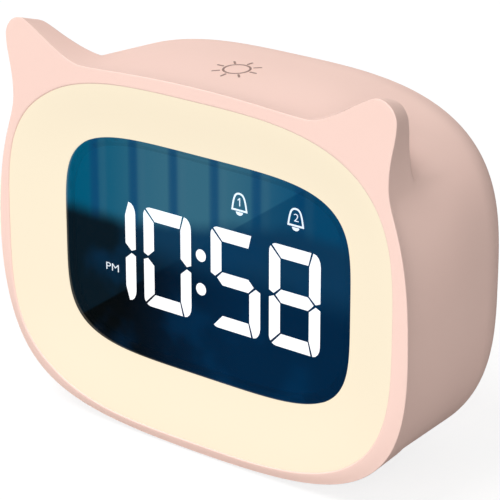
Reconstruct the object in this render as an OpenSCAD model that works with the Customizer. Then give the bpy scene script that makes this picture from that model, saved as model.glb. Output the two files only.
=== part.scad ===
// Kids alarm clock with a night light.
// A soft one-piece housing with two ears holds a dished light panel in front, with a smoked
// digital display at its centre, and the electronics, the speaker and the cell behind them.
// X runs to the right of someone facing the clock, Y to the rear and Z up. The origin is on
// the table, under the middle of the body. Depths named *_y are measured from the front face.

/* [Digits] */
// Width of one digit
digit_w = 15.5; // [14:0.1:16]
// Height of one digit
digit_h = 26.2; // [24:0.2:28]
// Stroke of a segment
stroke = 3.4; // [2.8:0.1:3.8]
// Gap between the two digits of a pair
digit_gap = 2.7; // [2.4:0.05:3.6]
// Gap between the two pairs, where the colon is
colon_gap = 6.3; // [5.4:0.1:7.5]
// How far the digits sit to the left of the lens's middle
digits_left_of = 1.2; // [0:0.1:2]
// How far the digits sit below the lens's middle
digits_drop = 1.6; // [0.5:0.1:2.2]
// Gap between two segments
segment_gap = 0.6; // [0.4:0.1:0.8]
// Diameter of a colon dot
dot_d = 3.2; // [2.6:0.1:3.6]
// Height of a colon dot above or below the middle of the digits
dot_z = 4.4; // [4:0.1:5.5]
// Width of an alarm bell
bell_w = 5; // [4:0.1:5.4]
// Distance from the top of the digits up to the middle of the bells
bell_gap = 7.1; // [6:0.1:7.4]

/* [Display] */
// Distance from the digits to the lens's edge at each side
lens_margin_x = 8.4; // [7:0.1:9.5]
// Distance from the digits to the lens's edge above and below
lens_margin_z = 15.6; // [15:0.1:17]
// Squareness of the lens outline: 2 is an ellipse, higher is squarer
lens_power = 4.3; // [4:0.1:5]
// Thickness of the lens
lens_t = 1; // [0.8:0.1:1.5]
// How far the lens sits above the light panel's middle
lens_rise = 0.7; // [0:0.1:1.2]
// Depth of the lens behind the front face
lens_y = 4.3; // [3.6:0.1:5.4]
// Gap all round the lens
lens_gap = 0.15; // [0.1:0.05:0.3]
// Thickness of the adhesive tape behind the lens
tape_t = 0.3; // [0.2:0.1:0.5]
// Width of the ledge that the tape sits on
lens_ledge_w = 2.2; // [1.8:0.1:2.8]
// Thickness of that ledge
lens_ledge_t = 1.5; // [1.2:0.1:2]
// Thickness of the display frame's flange
frame_flange_t = 1.5; // [1.2:0.1:2]
// Depth of the display frame behind its flange
frame_back = 2.8; // [2.4:0.1:3.6]
// Distance from the lens's edge in to the edge of the display board
display_board_in = 7; // [6:0.1:8]
// Thickness of every circuit board
board_t = 1.6; // [1:0.1:2]

/* [Light panel] */
// Width of the dished band at each side of the lens
dish_side = 14.8; // [14:0.1:17]
// Width of the dished band above and below the lens
dish_top = 15.4; // [14:0.1:17]
// Squareness of the light panel's outline
panel_power = 3.3; // [3.1:0.05:3.6]
// How far the panel and the display sit below the middle of the body
face_drop = 1.3; // [0.6:0.1:1.8]
// Depth of the panel's outer edge behind the front face
panel_y = 0.2; // [0.2:0.1:0.8]
// Thickness of the flange that sits on the housing's ledge
flange_t = 1.8; // [1.6:0.1:2.4]
// Thickness of the dished part
panel_t = 2; // [1.6:0.1:2.4]
// Width of the ledge in the housing
ledge_w = 2.5; // [2:0.1:3]
// Thickness of that ledge
ledge_t = 1.4; // [1.2:0.1:2]
// Gap all round the light panel
panel_gap = 0.15; // [0.1:0.05:0.3]
// Thickness of the collar round the lens
collar_t = 1.8; // [1.5:0.1:2.2]

/* [Night light] */
// Depth of the reflector's floor behind the front face
reflector_y = 12.4; // [11.4:0.1:13.6]
// Thickness of the reflector's walls and floor
reflector_t = 1.5; // [1:0.1:1.8]
// Number of light-emitting diodes round the ring
led_count = 16; // [8:4:16]
// Direction of the four posts from the middle, counted from upright
post_angle = 55.4; // [54:0.1:58]
// Diameter of those posts
post_d = 5; // [4.5:0.1:5.4]
// Depth of the screw holes in the posts
post_bore_l = 5; // [4:0.1:5.4]

/* [Housing] */
// Width of the rim at each side of the light panel
rim_side = 5.4; // [4:0.1:7]
// Width of the rim above and below the light panel
rim_top = 4.1; // [3.2:0.1:7]
// Depth from the front face to the rear rim
body_depth = 50; // [47:1:60]
// Squareness of the body outline
body_power = 3.15; // [3:0.05:3.6]
// Thickness of the moulded wall
wall = 2.2; // [1.8:0.1:2.6]
// How much each side leans in from front to rear
side_draft = 3; // [1:0.1:3.6]
// How much the top and the bottom lean in from front to rear
top_draft = 2; // [0.5:0.1:2.5]
// Depth of the big rounding at the rear
rear_round = 16; // [13:1:19]
// How far the rear rounding pulls the sides in
rear_inset_x = 14; // [10:0.5:15]
// How far the rear rounding pulls the top and the bottom in
rear_inset_z = 10.4; // [8:0.2:11]
// Radius of the soft front edge
edge_r = 0.6; // [0.4:0.1:1.6]
// Height of the body's underside above the table
foot_gap = 0.8; // [0.5:0.1:1.5]

/* [Ears] */
// How far the front face's edge lies inside the widest width
face_in = 0.6; // [0:0.1:1.5]
// How far the widest place of the front face lies below the middle
face_waist_drop = 5; // [0:0.5:10]
// How far the top dips in the middle between the ears
crown_drop = 0.9; // [0.4:0.1:1.6]
// Distance from the body's side in to an ear's tip
ear_tip_in = 9.7; // [8:0.1:12]
// Height of an ear's tip above the body's top
ear_tip_up = 5.9; // [3:0.1:10]
// Distance from the body's side in to an ear's outer bulge
ear_out_in = 5.1; // [4:0.1:6]
// Height of that bulge above the body's top
ear_out_up = 0.8; // [-1:0.1:2]
// Distance from the body's side in to the dip under an ear
ear_dip_in = 6.8; // [6:0.1:8]
// How far that dip lies below the body's top
ear_dip_down = 14; // [11:0.5:15]
// Distance from the body's side in to where the top starts to rise
ear_root_in = 30; // [27:0.5:33]
// How far that place lies below the body's top
ear_root_down = 2.4; // [1.5:0.1:3.5]
// Depth at which half of an ear has sunk into the body
ear_depth = 10; // [8:0.5:14]
// Length over which an ear blends into the body
ear_blend = 1.8; // [1.4:0.1:2.4]
// Extra wall inside a hollow ear
ear_wall = 2.6; // [2:0.1:4]

/* [Rear cover] */
// Distance from the body's side in to the cover's edge
cover_in_x = 18.9; // [18:0.1:20]
// Distance from the body's top down to the cover's edge
cover_in_z = 14.4; // [13.8:0.1:15]
// Thickness of the rear cover
cover_t = 2.2; // [1.8:0.1:2.6]
// Depth of the cover below the rear rim
cover_recess = 0.8; // [0.8:0.1:1.2]
// Gap all round the cover
cover_gap = 0.2; // [0.1:0.05:0.3]
// Width of the rear ledge
rear_ledge_w = 2.5; // [2:0.1:3]
// Thickness of the rear ledge
rear_ledge_t = 2; // [1.6:0.1:2.6]
// Distance from the cover's side in to a cover screw
cover_screw_in_x = 11.5; // [10:0.1:12]
// Distance from the cover's top down to a cover screw
cover_screw_in_z = 8.3; // [8:0.1:9]
// Length of the screw bosses in front of the ledge
cover_boss_h = 5.5; // [4.5:0.1:6]

/* [Buttons] */
// Number of buttons in the row
button_count = 5;
// Distance between two buttons
button_pitch = 12; // [11.5:0.1:12.4]
// Height of the button row above the middle of the body
button_z = 20.5; // [20:0.1:21]
// Diameter of a button
button_d = 8; // [7:0.1:8.4]
// Gap round a button in the cover
button_gap = 0.3; // [0.2:0.05:0.4]
// Width of a button's retaining flange
button_flange_w = 1.2; // [1:0.1:1.4]
// Thickness of a button's retaining flange
button_flange_t = 1; // [0.8:0.1:1.2]
// How far a button stands out of the cover
button_proud = 0.6; // [0.3:0.05:0.7]
// How far a button travels
button_travel = 0.5; // [0.3:0.05:0.6]
// Diameter of a switch plunger
plunger_d = 3.5; // [3:0.1:3.6]
// How far a plunger stands out of its switch
plunger_proud = 0.9; // [0.8:0.1:1.2]
// Width of a switch
switch_w = 6; // [5.6:0.1:6.2]
// Height of a switch
switch_h = 3.5; // [3.2:0.1:3.8]

/* [Main board] */
// Gap between the board's side and the cover's screw bosses
board_side_gap = 1.3; // [0.6:0.1:2]
// Height of the board's top edge above the middle of the body
board_top = 27; // [26:0.5:28]
// Drop of the board's bottom edge below the middle of the body
board_drop = 27; // [26:0.5:28]
// Distance of the left edge of the board's leg from the middle
board_leg_x = 8; // [7:0.1:9]
// Distance from the board's edge in to the middle of a standoff
standoff_in = 3; // [2.6:0.1:3.6]
// Diameter of a standoff
standoff_d = 5; // [4.4:0.1:5.4]
// Gap between a standoff and a button's flange
standoff_gap = 0.4; // [0.2:0.1:1]

/* [Speaker, socket and cell] */
// Diameter of the speaker
speaker_d = 32; // [30:0.5:34]
// Depth of the speaker's basket
speaker_h = 5; // [4.5:0.1:6]
// Diameter of the speaker's magnet
magnet_d = 17; // [14:0.5:18]
// Thickness of the speaker's magnet
magnet_h = 4; // [3:0.1:5]
// Middle of the speaker, to the left
speaker_x = 12; // [11.5:0.1:12.5]
// Middle of the speaker, below the middle of the body
speaker_drop = 10; // [9:0.1:11]
// Diameter of a grille hole
grille_hole_d = 1.8; // [1.4:0.1:2]
// Distance between two rings of grille holes
grille_step = 3.6; // [3.2:0.1:4]
// Width of the power socket
socket_w = 9; // [8.6:0.1:9.2]
// Thickness of the power socket
socket_h = 3.3; // [3:0.1:3.5]
// Depth of the power socket
socket_depth = 6.9; // [6.6:0.1:7.2]
// Middle of the power socket, to the right
socket_x = 19.5; // [19:0.1:20]
// Middle of the power socket, below the middle of the body
socket_drop = 18; // [17:0.1:18.4]
// Diameter of the cell
cell_d = 18.4; // [17:0.1:18.6]
// Length of the cell
cell_l = 65; // [60:0.5:72]
// Gap between the cell and the heads of the board's screws
cell_gap = 0.3; // [0.2:0.1:0.6]
// Diameter of the touch pad under the top
touch_d = 17; // [12:0.5:18]
// Depth of the touch pad's middle behind the front face
touch_y = 16.8; // [16:0.1:18]

/* [Screws and feet] */
// Diameter of a screw's shank
screw_d = 2.2; // [2:0.1:2.4]
// Diameter of a screw's head
screw_head_d = 4; // [3.6:0.1:4.2]
// Height of a screw's head
screw_head_h = 1.4; // [1.2:0.1:1.6]
// Gap round a screw's shank
screw_gap = 0.1; // [0.05:0.05:0.2]
// Wall of a screw boss round the screw's head size
boss_wall = 1.2; // [1:0.1:1.6]
// Length of a rubber foot
foot_l = 56; // [40:1:64]
// Width of a rubber foot
foot_w = 7; // [5:0.5:8]
// Thickness of a rubber foot
foot_t = 2.1; // [1.8:0.1:2.4]
// Depth of the front foot's middle behind the front face
front_foot_y = 11; // [10:0.5:13]
// Depth of the rear foot's middle behind the front face
rear_foot_y = 33; // [30:0.5:34]

/* [Hidden] */
$fn = 48;
SIDES = [-1, 1];
pink = "#f0cfc6";
cream = "#fff1d6";
white = "#f4f4f0";
black = "#1c1d20";
board_green = "#2f6b4a";
steel = "#b9bcc0";

// Sizes across, from the digits out to the body
digits_w = 4 * digit_w + 2 * digit_gap + colon_gap;
lens_w = digits_w + 2 * lens_margin_x;
lens_h = digit_h + 2 * lens_margin_z;
panel_w = lens_w + 2 * dish_side;
panel_h = lens_h + 2 * dish_top;
body_w = panel_w + 2 * rim_side;
body_h = panel_h + 2 * rim_top;
cover_w = body_w - 2 * cover_in_x;
cover_h = body_h - 2 * cover_in_z;
cover_screw_x = cover_w / 2 - cover_screw_in_x;
cover_screw_z = cover_h / 2 - cover_screw_in_z;
boss_d = screw_head_d + 2 * boss_wall;

// Places along the depth
mid_z = foot_gap + body_h / 2;
face_z = mid_z - face_drop;
lens_z = face_z + lens_rise;
ledge_y = panel_y + flange_t;
lens_back_y = lens_y + lens_t;
tape_back_y = lens_back_y + tape_t;
lens_ledge_y = tape_back_y + lens_ledge_t;
frame_y = lens_back_y + 0.1;
flange_back_y = lens_ledge_y + frame_flange_t;
frame_back_y = flange_back_y + frame_back;
light_board_y = reflector_y + reflector_t;
light_back_y = light_board_y + board_t;
cover_in_y = body_depth - cover_recess - cover_t;
cover_out_y = body_depth - cover_recess;
cap_rest_gap = 0.1;
cap_r = button_d / 2;
flange_r = cap_r + button_flange_w;
standoff_h = cap_rest_gap + button_flange_t + plunger_proud + switch_h;
board_back_y = cover_in_y - standoff_h;
board_front_y = board_back_y - board_t;
bore_d = screw_d + 2 * screw_gap;
spare = 1;

// ---- Outlines -------------------------------------------------------------------------

// Radius of a superellipse in the direction a, counted from straight up
function superellipse_r(a, half_w, half_h, power) =
    pow(pow(abs(sin(a)) / half_w, power) + pow(abs(cos(a)) / half_h, power), -1 / power);

// Points of a superellipse, grown all round by grow, in the directions of the housing's rings
function superellipse(w, h, power, grow = 0) = [
    for (a = ring_angle)
        let (r = superellipse_r(a, w / 2 + grow, h / 2 + grow, power)) [r * sin(a), r * cos(a)]
];

// Points of a cubic curve from p0 up to, but not with, p3
function curve(p0, p1, p2, p3, steps) = [
    for (i = [0:steps - 1])
        let (t = i / steps, u = 1 - t)
            u * u * u * p0 + 3 * u * u * t * p1 + 3 * u * t * t * p2 + t * t * t * p3
];

// A handle of a curve: a share of the way from p to q, along X or along the height alone
function along_x(p, q, share) = p + [(q.x - p.x) * share, 0];
function along_z(p, q, share) = p + [0, (q.y - p.y) * share];

// Right half of the front outline, from the top middle over the ear to the bottom middle
side_x = body_w / 2;
top_z = body_h / 2;
crown = [0, top_z - crown_drop];
root = [side_x - ear_root_in, top_z - ear_root_down];
tip = [side_x - ear_tip_in, top_z + ear_tip_up];
bulge = [side_x - ear_out_in, top_z + ear_out_up];
dip = [side_x - ear_dip_in, top_z - ear_dip_down];
waist = [side_x - face_in, -face_waist_drop];
keel = [0, -top_z];
half_outline = concat(
    curve(crown, along_x(crown, root, 0.5), along_x(root, crown, 0.21), root, 6),
    curve(root, along_x(root, tip, 0.305), along_x(tip, root, 0.128), tip, 7),
    curve(tip, along_x(tip, bulge, 0.563), along_z(bulge, tip, 0.455), bulge, 4),
    curve(bulge, along_z(bulge, dip, 0.323), along_z(dip, bulge, 0.464), dip, 4),
    curve(dip, along_z(dip, waist, 0.204), along_z(waist, dip, 0.696), waist, 5),
    curve(waist, along_z(waist, keel, 0.912), along_x(keel, waist, 0.692), keel, 10),
    [keel]
);
half_count = len(half_outline);
front_outline = concat(
    half_outline,
    [for (i = [half_count - 2:-1:1]) [-half_outline[i].x, half_outline[i].y]]
);
ring_count = len(front_outline);
ring_angle = [for (p = front_outline) atan2(p.x, p.y)];
front_r = [for (p = front_outline) norm(p)];

// ---- Housing surface ------------------------------------------------------------------

// How far the rear rounding has turned in at depth y, from 0 to 1
function rounding(y) =
    let (u = max(0, (y - body_depth + rear_round) / rear_round)) 1 - sqrt(max(0, 1 - u * u));

// Half width and half height of the plain body, without ears, at depth y
function half_w(y) = side_x - side_draft * y / body_depth - rear_inset_x * rounding(y);
function half_h(y) = top_z - top_draft * y / body_depth - rear_inset_z * rounding(y);

// Radius of the plain body in a ring direction at depth y
function body_r(i, y, inset) =
    superellipse_r(ring_angle[i], half_w(y) - inset, half_h(y) - inset, body_power);

// Height above the table of the inside of the floor, x from the middle at depth y
function inside_floor(x, y) =
    mid_z - (half_h(y) - wall) * pow(1 - pow(x / (half_w(y) - wall), body_power), 1 / body_power);

// How much of an ear is left at depth y, from 1 at the front face to 0
function ear_share(y) = (1 + exp(-ear_depth / ear_blend)) / (1 + exp((y - ear_depth) / ear_blend));

// How far the front outline stands out of the plain body
function ear_rise(i) = front_r[i] - body_r(i, 0, 0);

function outer_r(i, y) = body_r(i, y, 0) + ear_share(y) * ear_rise(i);
function inner_r(i, y) =
    body_r(i, y, wall) + max(0, ear_share(y + wall) * ear_rise(i) - ear_wall);
function edge_cut(y) = edge_r - sqrt(max(0, edge_r * edge_r - pow(edge_r - y, 2)));

// One ring of points at depth y, round the middle height z, from a list of radii
function ring(y, z, radii) = [
    for (i = [0:ring_count - 1])
        [radii[i] * sin(ring_angle[i]), y - body_depth / 2, z + radii[i] * cos(ring_angle[i])]
];
function outer_ring(y) = ring(y, mid_z, [for (i = [0:ring_count - 1]) outer_r(i, y)]);
function edge_ring(y) =
    ring(y, mid_z, [for (i = [0:ring_count - 1]) outer_r(i, y) - edge_cut(y)]);
function inner_ring(y) = ring(y, mid_z, [for (i = [0:ring_count - 1]) inner_r(i, y)]);
function oval_ring(y, z, w, h, power, grow) = ring(y, z, [
    for (i = [0:ring_count - 1])
        superellipse_r(ring_angle[i], w / 2 + grow, h / 2 + grow, power)
]);
function panel_ring(y, grow) = oval_ring(y, face_z, panel_w, panel_h, panel_power, grow);
function cover_ring(y, grow) = oval_ring(y, mid_z, cover_w, cover_h, body_power, grow);

edge_steps = 3;
ear_steps = 8;
round_steps = 7;
bevel = 0.3;
ear_end_y = ear_depth + 5 * ear_blend;
round_y = body_depth - rear_round;
inside_back_y = cover_in_y - rear_ledge_t;
housing_rows = concat(
    [panel_ring(ledge_y, panel_gap), panel_ring(bevel, panel_gap)],
    [panel_ring(0, panel_gap + bevel)],
    [for (i = [0:edge_steps - 1]) edge_ring(edge_r * (1 - cos(90 * i / edge_steps)))],
    [for (i = [0:ear_steps]) outer_ring(edge_r + (ear_end_y - edge_r) * i / ear_steps)],
    [for (i = [0:round_steps]) outer_ring(round_y + rear_round * sin(90 * i / round_steps))],
    [cover_ring(body_depth, cover_gap), cover_ring(cover_in_y, cover_gap)],
    [cover_ring(cover_in_y, -rear_ledge_w), cover_ring(inside_back_y, -rear_ledge_w)],
    [for (i = [0:3]) inner_ring(inside_back_y + (round_y - inside_back_y) * i / 3)],
    [for (i = [0:6]) inner_ring(ear_end_y + (ledge_y + ledge_t - ear_end_y) * i / 6)],
    [panel_ring(ledge_y + ledge_t, -ledge_w), panel_ring(ledge_y, -ledge_w)]
);

// A closed solid through rows of rings: the last row joins the first
module ring_solid(rows) {
    count = len(rows[0]);
    row_count = len(rows);
    points = [for (row = rows) for (p = row) p];
    faces = [
        for (j = [0:row_count - 1])
            for (i = [0:count - 1])
                let (
                    k = (j + 1) % row_count,
                    n = (i + 1) % count,
                    a = j * count + i,
                    b = j * count + n,
                    c = k * count + n,
                    d = k * count + i
                )
                    each [[a, c, b], [a, d, c]]
    ];
    polyhedron(points, faces);
}

// ---- Placing --------------------------------------------------------------------------

// A flat shape in the X-Z plane, made solid from depth y_from to depth y_to
module slab(y_from, y_to, z = mid_z) {
    translate([0, y_to - body_depth / 2, z])
        rotate([90, 0, 0])
            linear_extrude(y_to - y_from)
                children();
}

// Places a shape whose own Z axis then points to the front
module facing_front(x, y, z) {
    translate([x, y - body_depth / 2, mid_z + z])
        rotate([90, 0, 0])
            children();
}

// Places a shape whose own Z axis then points to the rear
module facing_rear(x, y, z) {
    translate([x, y - body_depth / 2, mid_z + z])
        rotate([-90, 0, 0])
            children();
}

// Repeats a flat shape at the four points that lie x and z from the middle
module four(x, z) {
    for (sx = SIDES)
        for (sz = SIDES)
            translate([sx * x, sz * z])
                children();
}

module superellipse_shape(w, h, power, grow = 0) {
    polygon(superellipse(w, h, power, grow));
}

// A pan-head screw whose head rests on z = 0 and whose shank runs down to -length
slot_w = 0.5;
slot_depth = 0.6;
module screw(length) {
    translate([0, 0, -length])
        cylinder(d = screw_d, h = length + screw_head_h / 2);
    difference() {
        cylinder(d = screw_head_d, h = screw_head_h);
        for (turn = [0, 90])
            rotate(turn)
                translate([-screw_head_d * 0.3, -slot_w / 2, screw_head_h - slot_depth])
                    cube([screw_head_d * 0.6, slot_w, slot_depth + spare]);
    }
}

// ---- Housing --------------------------------------------------------------------------

spring_space = 3;
holder_wall = 1.6;
holder_side_t = 0.8;
holder_gap = 0.3;
holder_l = cell_l + 2 * spring_space + 2 * holder_wall;
holder_w = cell_d + 2 * holder_gap + 2 * holder_side_t;
holder_base_t = 2.6;
holder_screw_x = 20;
holder_screw_l = 4;
holder_floor_gap = 0.9;
cell_y = board_front_y - screw_head_h - cell_gap - cell_d / 2;
floor_top_z = inside_floor(holder_l / 2, cell_y + holder_w / 2) + holder_floor_gap;
cell_z = floor_top_z + holder_base_t + holder_gap + cell_d / 2;
foot_pad_w = 1.2;
foot_recess_gap = 0.1;
pad_roof = 0.6;
touch_boss_t = 1.6;
touch_boss_w = 1;
touch_boss_drop = 0.6;
touch_boss_z = half_h(touch_y) - wall - touch_boss_drop;

module foot_shape(grow) {
    for (sx = SIDES)
        translate([sx * (foot_l - foot_w) / 2, 0])
            circle(d = foot_w + 2 * grow);
    square([foot_l - foot_w, foot_w + 2 * grow], center = true);
}

module at_feet() {
    for (y = [front_foot_y, rear_foot_y])
        translate([0, y - body_depth / 2, 0])
            children();
}

// The two places of the cell holder's screws, z above the table
module at_holder_screws(z) {
    for (sx = SIDES)
        translate([sx * holder_screw_x, cell_y - body_depth / 2, z])
            children();
}

module housing() {
    color(pink)
        difference() {
            union() {
                ring_solid(housing_rows);
                at_feet()
                    translate([0, 0, foot_gap])
                        linear_extrude(foot_t - foot_gap + wall)
                            foot_shape(foot_pad_w);
                at_holder_screws(foot_t + pad_roof)
                    cylinder(d = boss_d, h = floor_top_z - foot_t - pad_roof);
                slab(inside_back_y - cover_boss_h, cover_in_y)
                    four(cover_screw_x, cover_screw_z)
                        circle(d = boss_d);
                translate([0, touch_y - body_depth / 2, mid_z + touch_boss_z])
                    cylinder(d = touch_d + 2 * touch_boss_w, h = touch_boss_t);
            }
            at_feet()
                translate([0, 0, -spare])
                    linear_extrude(foot_t + spare)
                        foot_shape(foot_recess_gap);
            at_holder_screws(floor_top_z - holder_screw_l)
                cylinder(d = bore_d, h = holder_screw_l + spare);
            slab(cover_in_y - cover_boss_h, cover_in_y + spare)
                four(cover_screw_x, cover_screw_z)
                    circle(d = bore_d);
        }
}

// ---- Light panel and lens -------------------------------------------------------------

dish_steps = 5;
band_w = dish_side - lens_gap;
lip = 0.1;
ledge_step = ledge_w + 2 * panel_gap;

// Depth of the dish's front surface, a share s of the way from the rim to the lens
function dish_y(s) = panel_y + (lens_y - lip - panel_y) * (s + s * s * (3 - 2 * s)) / 2;

// A ring between the panel's outline (s = 0) and the lens opening (s = 1)
function dish_ring(s, y) = oval_ring(
    y, face_z + lens_rise * s,
    panel_w + (lens_w + 2 * lens_gap - panel_w) * s,
    panel_h + (lens_h + 2 * lens_gap - panel_h) * s,
    panel_power + (lens_power - panel_power) * s,
    0
);
function lens_ring(y, grow) = oval_ring(y, lens_z, lens_w, lens_h, lens_power, grow);

step_s = ledge_step / band_w;
collar_s = 1 - collar_t / band_w;
collar_out = lens_gap + collar_t;
panel_rows = concat(
    [panel_ring(ledge_y, 0), panel_ring(ledge_y, -ledge_step)],
    [panel_ring(dish_y(step_s) + panel_t, -ledge_step)],
    [
        for (i = [1:dish_steps])
            let (s = step_s + (collar_s - step_s) * i / dish_steps) dish_ring(s, dish_y(s) + panel_t)
    ],
    [lens_ring(lens_ledge_y, collar_out), lens_ring(lens_ledge_y, -lens_ledge_w)],
    [lens_ring(tape_back_y, -lens_ledge_w), dish_ring(1, tape_back_y)],
    [for (i = [dish_steps:-1:1]) dish_ring(i / dish_steps, dish_y(i / dish_steps))],
    [panel_ring(panel_y, -bevel), panel_ring(panel_y + bevel, 0)]
);

// The ring-shaped space behind the dish, between the collar and the reflector's outer wall
tub_in = ledge_step + 0.7;
tub_rim_gap = 1.7;
function channel_r(a) = (
    superellipse_r(a, lens_w / 2 + collar_out, lens_h / 2 + collar_out, lens_power)
    + superellipse_r(
        a, panel_w / 2 - tub_in - reflector_t, panel_h / 2 - tub_in - reflector_t, panel_power
    )
) / 2;
post_x = channel_r(post_angle) * sin(post_angle);
post_z = channel_r(post_angle) * cos(post_angle);
post_s = 0.8;
post_y = dish_y(post_s) + panel_t / 8;
channel_rise = lens_rise / 2;
module at_posts() {
    translate([0, channel_rise])
        four(post_x, post_z)
            children();
}

module light_panel() {
    color(cream)
        difference() {
            union() {
                ring_solid(panel_rows);
                slab(post_y, reflector_y, face_z)
                    at_posts()
                        circle(d = post_d);
            }
            slab(reflector_y - post_bore_l, reflector_y + spare, face_z)
                at_posts()
                    circle(d = bore_d);
        }
}

module smoked_lens() {
    color("#0f3f5c")
        slab(lens_y, lens_back_y, lens_z)
            superellipse_shape(lens_w, lens_h, lens_power);
}

tape_in = 0.3;
module lens_tape() {
    color(black)
        slab(lens_back_y, tape_back_y, lens_z)
            difference() {
                superellipse_shape(lens_w, lens_h, lens_power, -tape_in);
                superellipse_shape(lens_w, lens_h, lens_power, -lens_ledge_w);
            }
}

// ---- Digits ---------------------------------------------------------------------------

// Segments a to g of one digit, from the top clockwise and the middle last. The cell's lower
// left corner is its origin. The mitres at the right lean more steeply than those at the left,
// and the digit's outer corners are soft: round at the left and longer than wide at the right.
half_gap = segment_gap / 2;
corner = 2.3;
corner_tall = 3;
corner_steps = 4;
mitre = 0.6;
blunt = 0.3;
lean = stroke * 0.74;
mid_v = digit_h / 2;

// Points of a quarter of an oval or a part of it, from angle a0 to a1, counted from the right
function soft_corner(cx, cy, rx, ry, a0, a1) = [
    for (i = [0:corner_steps])
        let (a = a0 + (a1 - a0) * i / corner_steps) [cx + rx * cos(a), cy + ry * sin(a)]
];

// Where the corner's arc meets the gap between two segments, as an angle off its middle
corner_gap_a = asin(half_gap / corner);
function upper_a() = concat(
    soft_corner(corner, digit_h - corner, corner, corner, 135 - corner_gap_a, 90),
    [
        [digit_w - lean - half_gap, digit_h],
        [digit_w - stroke - half_gap, digit_h - stroke],
        [stroke + half_gap, digit_h - stroke]
    ]
);
function upper_b() = concat(
    soft_corner(
        digit_w - lean + half_gap, digit_h - corner_tall, lean - half_gap, corner_tall, 90, 0
    ),
    [
        [digit_w, mid_v + half_gap + mitre],
        [digit_w - stroke / 2 + blunt, mid_v + half_gap],
        [digit_w - stroke, mid_v + stroke / 2 + half_gap],
        [digit_w - stroke, digit_h - stroke - half_gap]
    ]
);
function upper_f() = concat(
    soft_corner(corner, digit_h - corner, corner, corner, 180, 135 + corner_gap_a),
    [
        [stroke, digit_h - stroke - half_gap],
        [stroke, mid_v + stroke / 2 + half_gap],
        [stroke / 2 - blunt, mid_v + half_gap],
        [0, mid_v + half_gap + mitre]
    ]
);
function middle_g() = [
    [stroke / 2 + half_gap, mid_v],
    [stroke + half_gap, mid_v + stroke / 2],
    [digit_w - stroke - half_gap, mid_v + stroke / 2],
    [digit_w - stroke / 2 - half_gap, mid_v],
    [digit_w - stroke - half_gap, mid_v - stroke / 2],
    [stroke + half_gap, mid_v - stroke / 2]
];
function turned(points) = [for (p = points) [p.x, digit_h - p.y]];
function segment_points(name) =
    name == "a" ? upper_a() :
    name == "b" ? upper_b() :
    name == "c" ? turned(upper_b()) :
    name == "d" ? turned(upper_a()) :
    name == "e" ? turned(upper_f()) :
    name == "f" ? upper_f() : middle_g();

// Each digit's left edge, with the segments that shine and those that are dark. The first
// digit is only ever a 1, so it has just two segments.
digits_left = -digits_left_of - digits_w / 2;
digit_pitch = digit_w + digit_gap;
digit_left = [
    digits_left,
    digits_left + digit_pitch,
    digits_left + digit_pitch + digit_w + colon_gap,
    digits_left + 2 * digit_pitch + digit_w + colon_gap
];
LIT = ["bc", "abcdef", "acdfg", "abcdefg"];
DARK = ["", "g", "be", ""];
digits_z = -digits_drop;

module segments(names) {
    for (i = [0:3])
        for (name = names[i])
            translate([digit_left[i], digits_z - digit_h / 2])
                polygon(segment_points(name));
}

colon_x = digit_left[2] - colon_gap / 2;
module colon_shape() {
    for (side = SIDES)
        translate([colon_x, digits_z + side * dot_z])
            circle(d = dot_d);
}

// A bell: a round top on a flared body, and a half-round clapper under it
bell_shift = 1;
bell_x = [digit_left[2] + digit_w / 2 + bell_shift, digit_left[3] + digit_w / 2];
bell_z = digit_h / 2 + bell_gap;
module bell_shape() {
    top_r = bell_w * 0.4;
    lip_z = -bell_w * 0.36;
    translate([0, bell_w * 0.08])
        circle(r = top_r);
    polygon([
        [-top_r, bell_w * 0.08], [-top_r, -bell_w * 0.16], [-bell_w / 2, lip_z],
        [bell_w / 2, lip_z], [top_r, -bell_w * 0.16], [top_r, bell_w * 0.08]
    ]);
    translate([0, lip_z - 0.3])
        intersection() {
            circle(d = bell_w * 0.36);
            translate([-bell_w / 2, -bell_w])
                square([bell_w, bell_w]);
        }
}

module bells_shape() {
    for (x = bell_x)
        translate([x, digits_z + bell_z])
            bell_shape();
}

pm_w = 4.4;
pm_h = 2.2;
pm_in = 5.6;
pm_drop = 6.7;
module pm_shape() {
    translate([digit_left[0] + pm_in, digits_z - pm_drop])
        square([pm_w, pm_h]);
}

module cells_shape() {
    segments(LIT);
    segments(DARK);
    colon_shape();
    bells_shape();
    pm_shape();
}

// ---- Display module -------------------------------------------------------------------

guide_l = 4;
frame_gap = 0.3;
display_screw_in = 3;
display_board_w = lens_w - 2 * display_board_in;
display_board_h = lens_h - 2 * display_board_in;
display_screw_x = display_board_w / 2 - display_screw_in;
display_screw_z = display_board_h / 2 - display_screw_in;

module display_frame() {
    color(black)
        difference() {
            union() {
                slab(frame_y, lens_ledge_y, lens_z)
                    superellipse_shape(lens_w, lens_h, lens_power, -lens_ledge_w - frame_gap);
                slab(lens_ledge_y, flange_back_y, lens_z)
                    superellipse_shape(lens_w, lens_h, lens_power, collar_out - frame_gap);
                slab(flange_back_y, frame_back_y, lens_z)
                    square([display_board_w, display_board_h], center = true);
            }
            slab(frame_y - spare, frame_back_y + spare, lens_z)
                cells_shape();
            slab(flange_back_y - spare, frame_back_y + spare, lens_z)
                four(display_screw_x, display_screw_z)
                    circle(d = bore_d);
        }
}

module light_guide() {
    slab(frame_y, frame_y + guide_l, lens_z)
        children();
}

module lit_segments() {
    color("white") light_guide() segments(LIT);
}

module unlit_segments() {
    color("#3a3d42") light_guide() segments(DARK);
}

module colon_dots() {
    color("white") light_guide() colon_shape();
}

module alarm_bells() {
    color("white") light_guide() bells_shape();
}

module pm_window() {
    color("white") light_guide() pm_shape();
}

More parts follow.
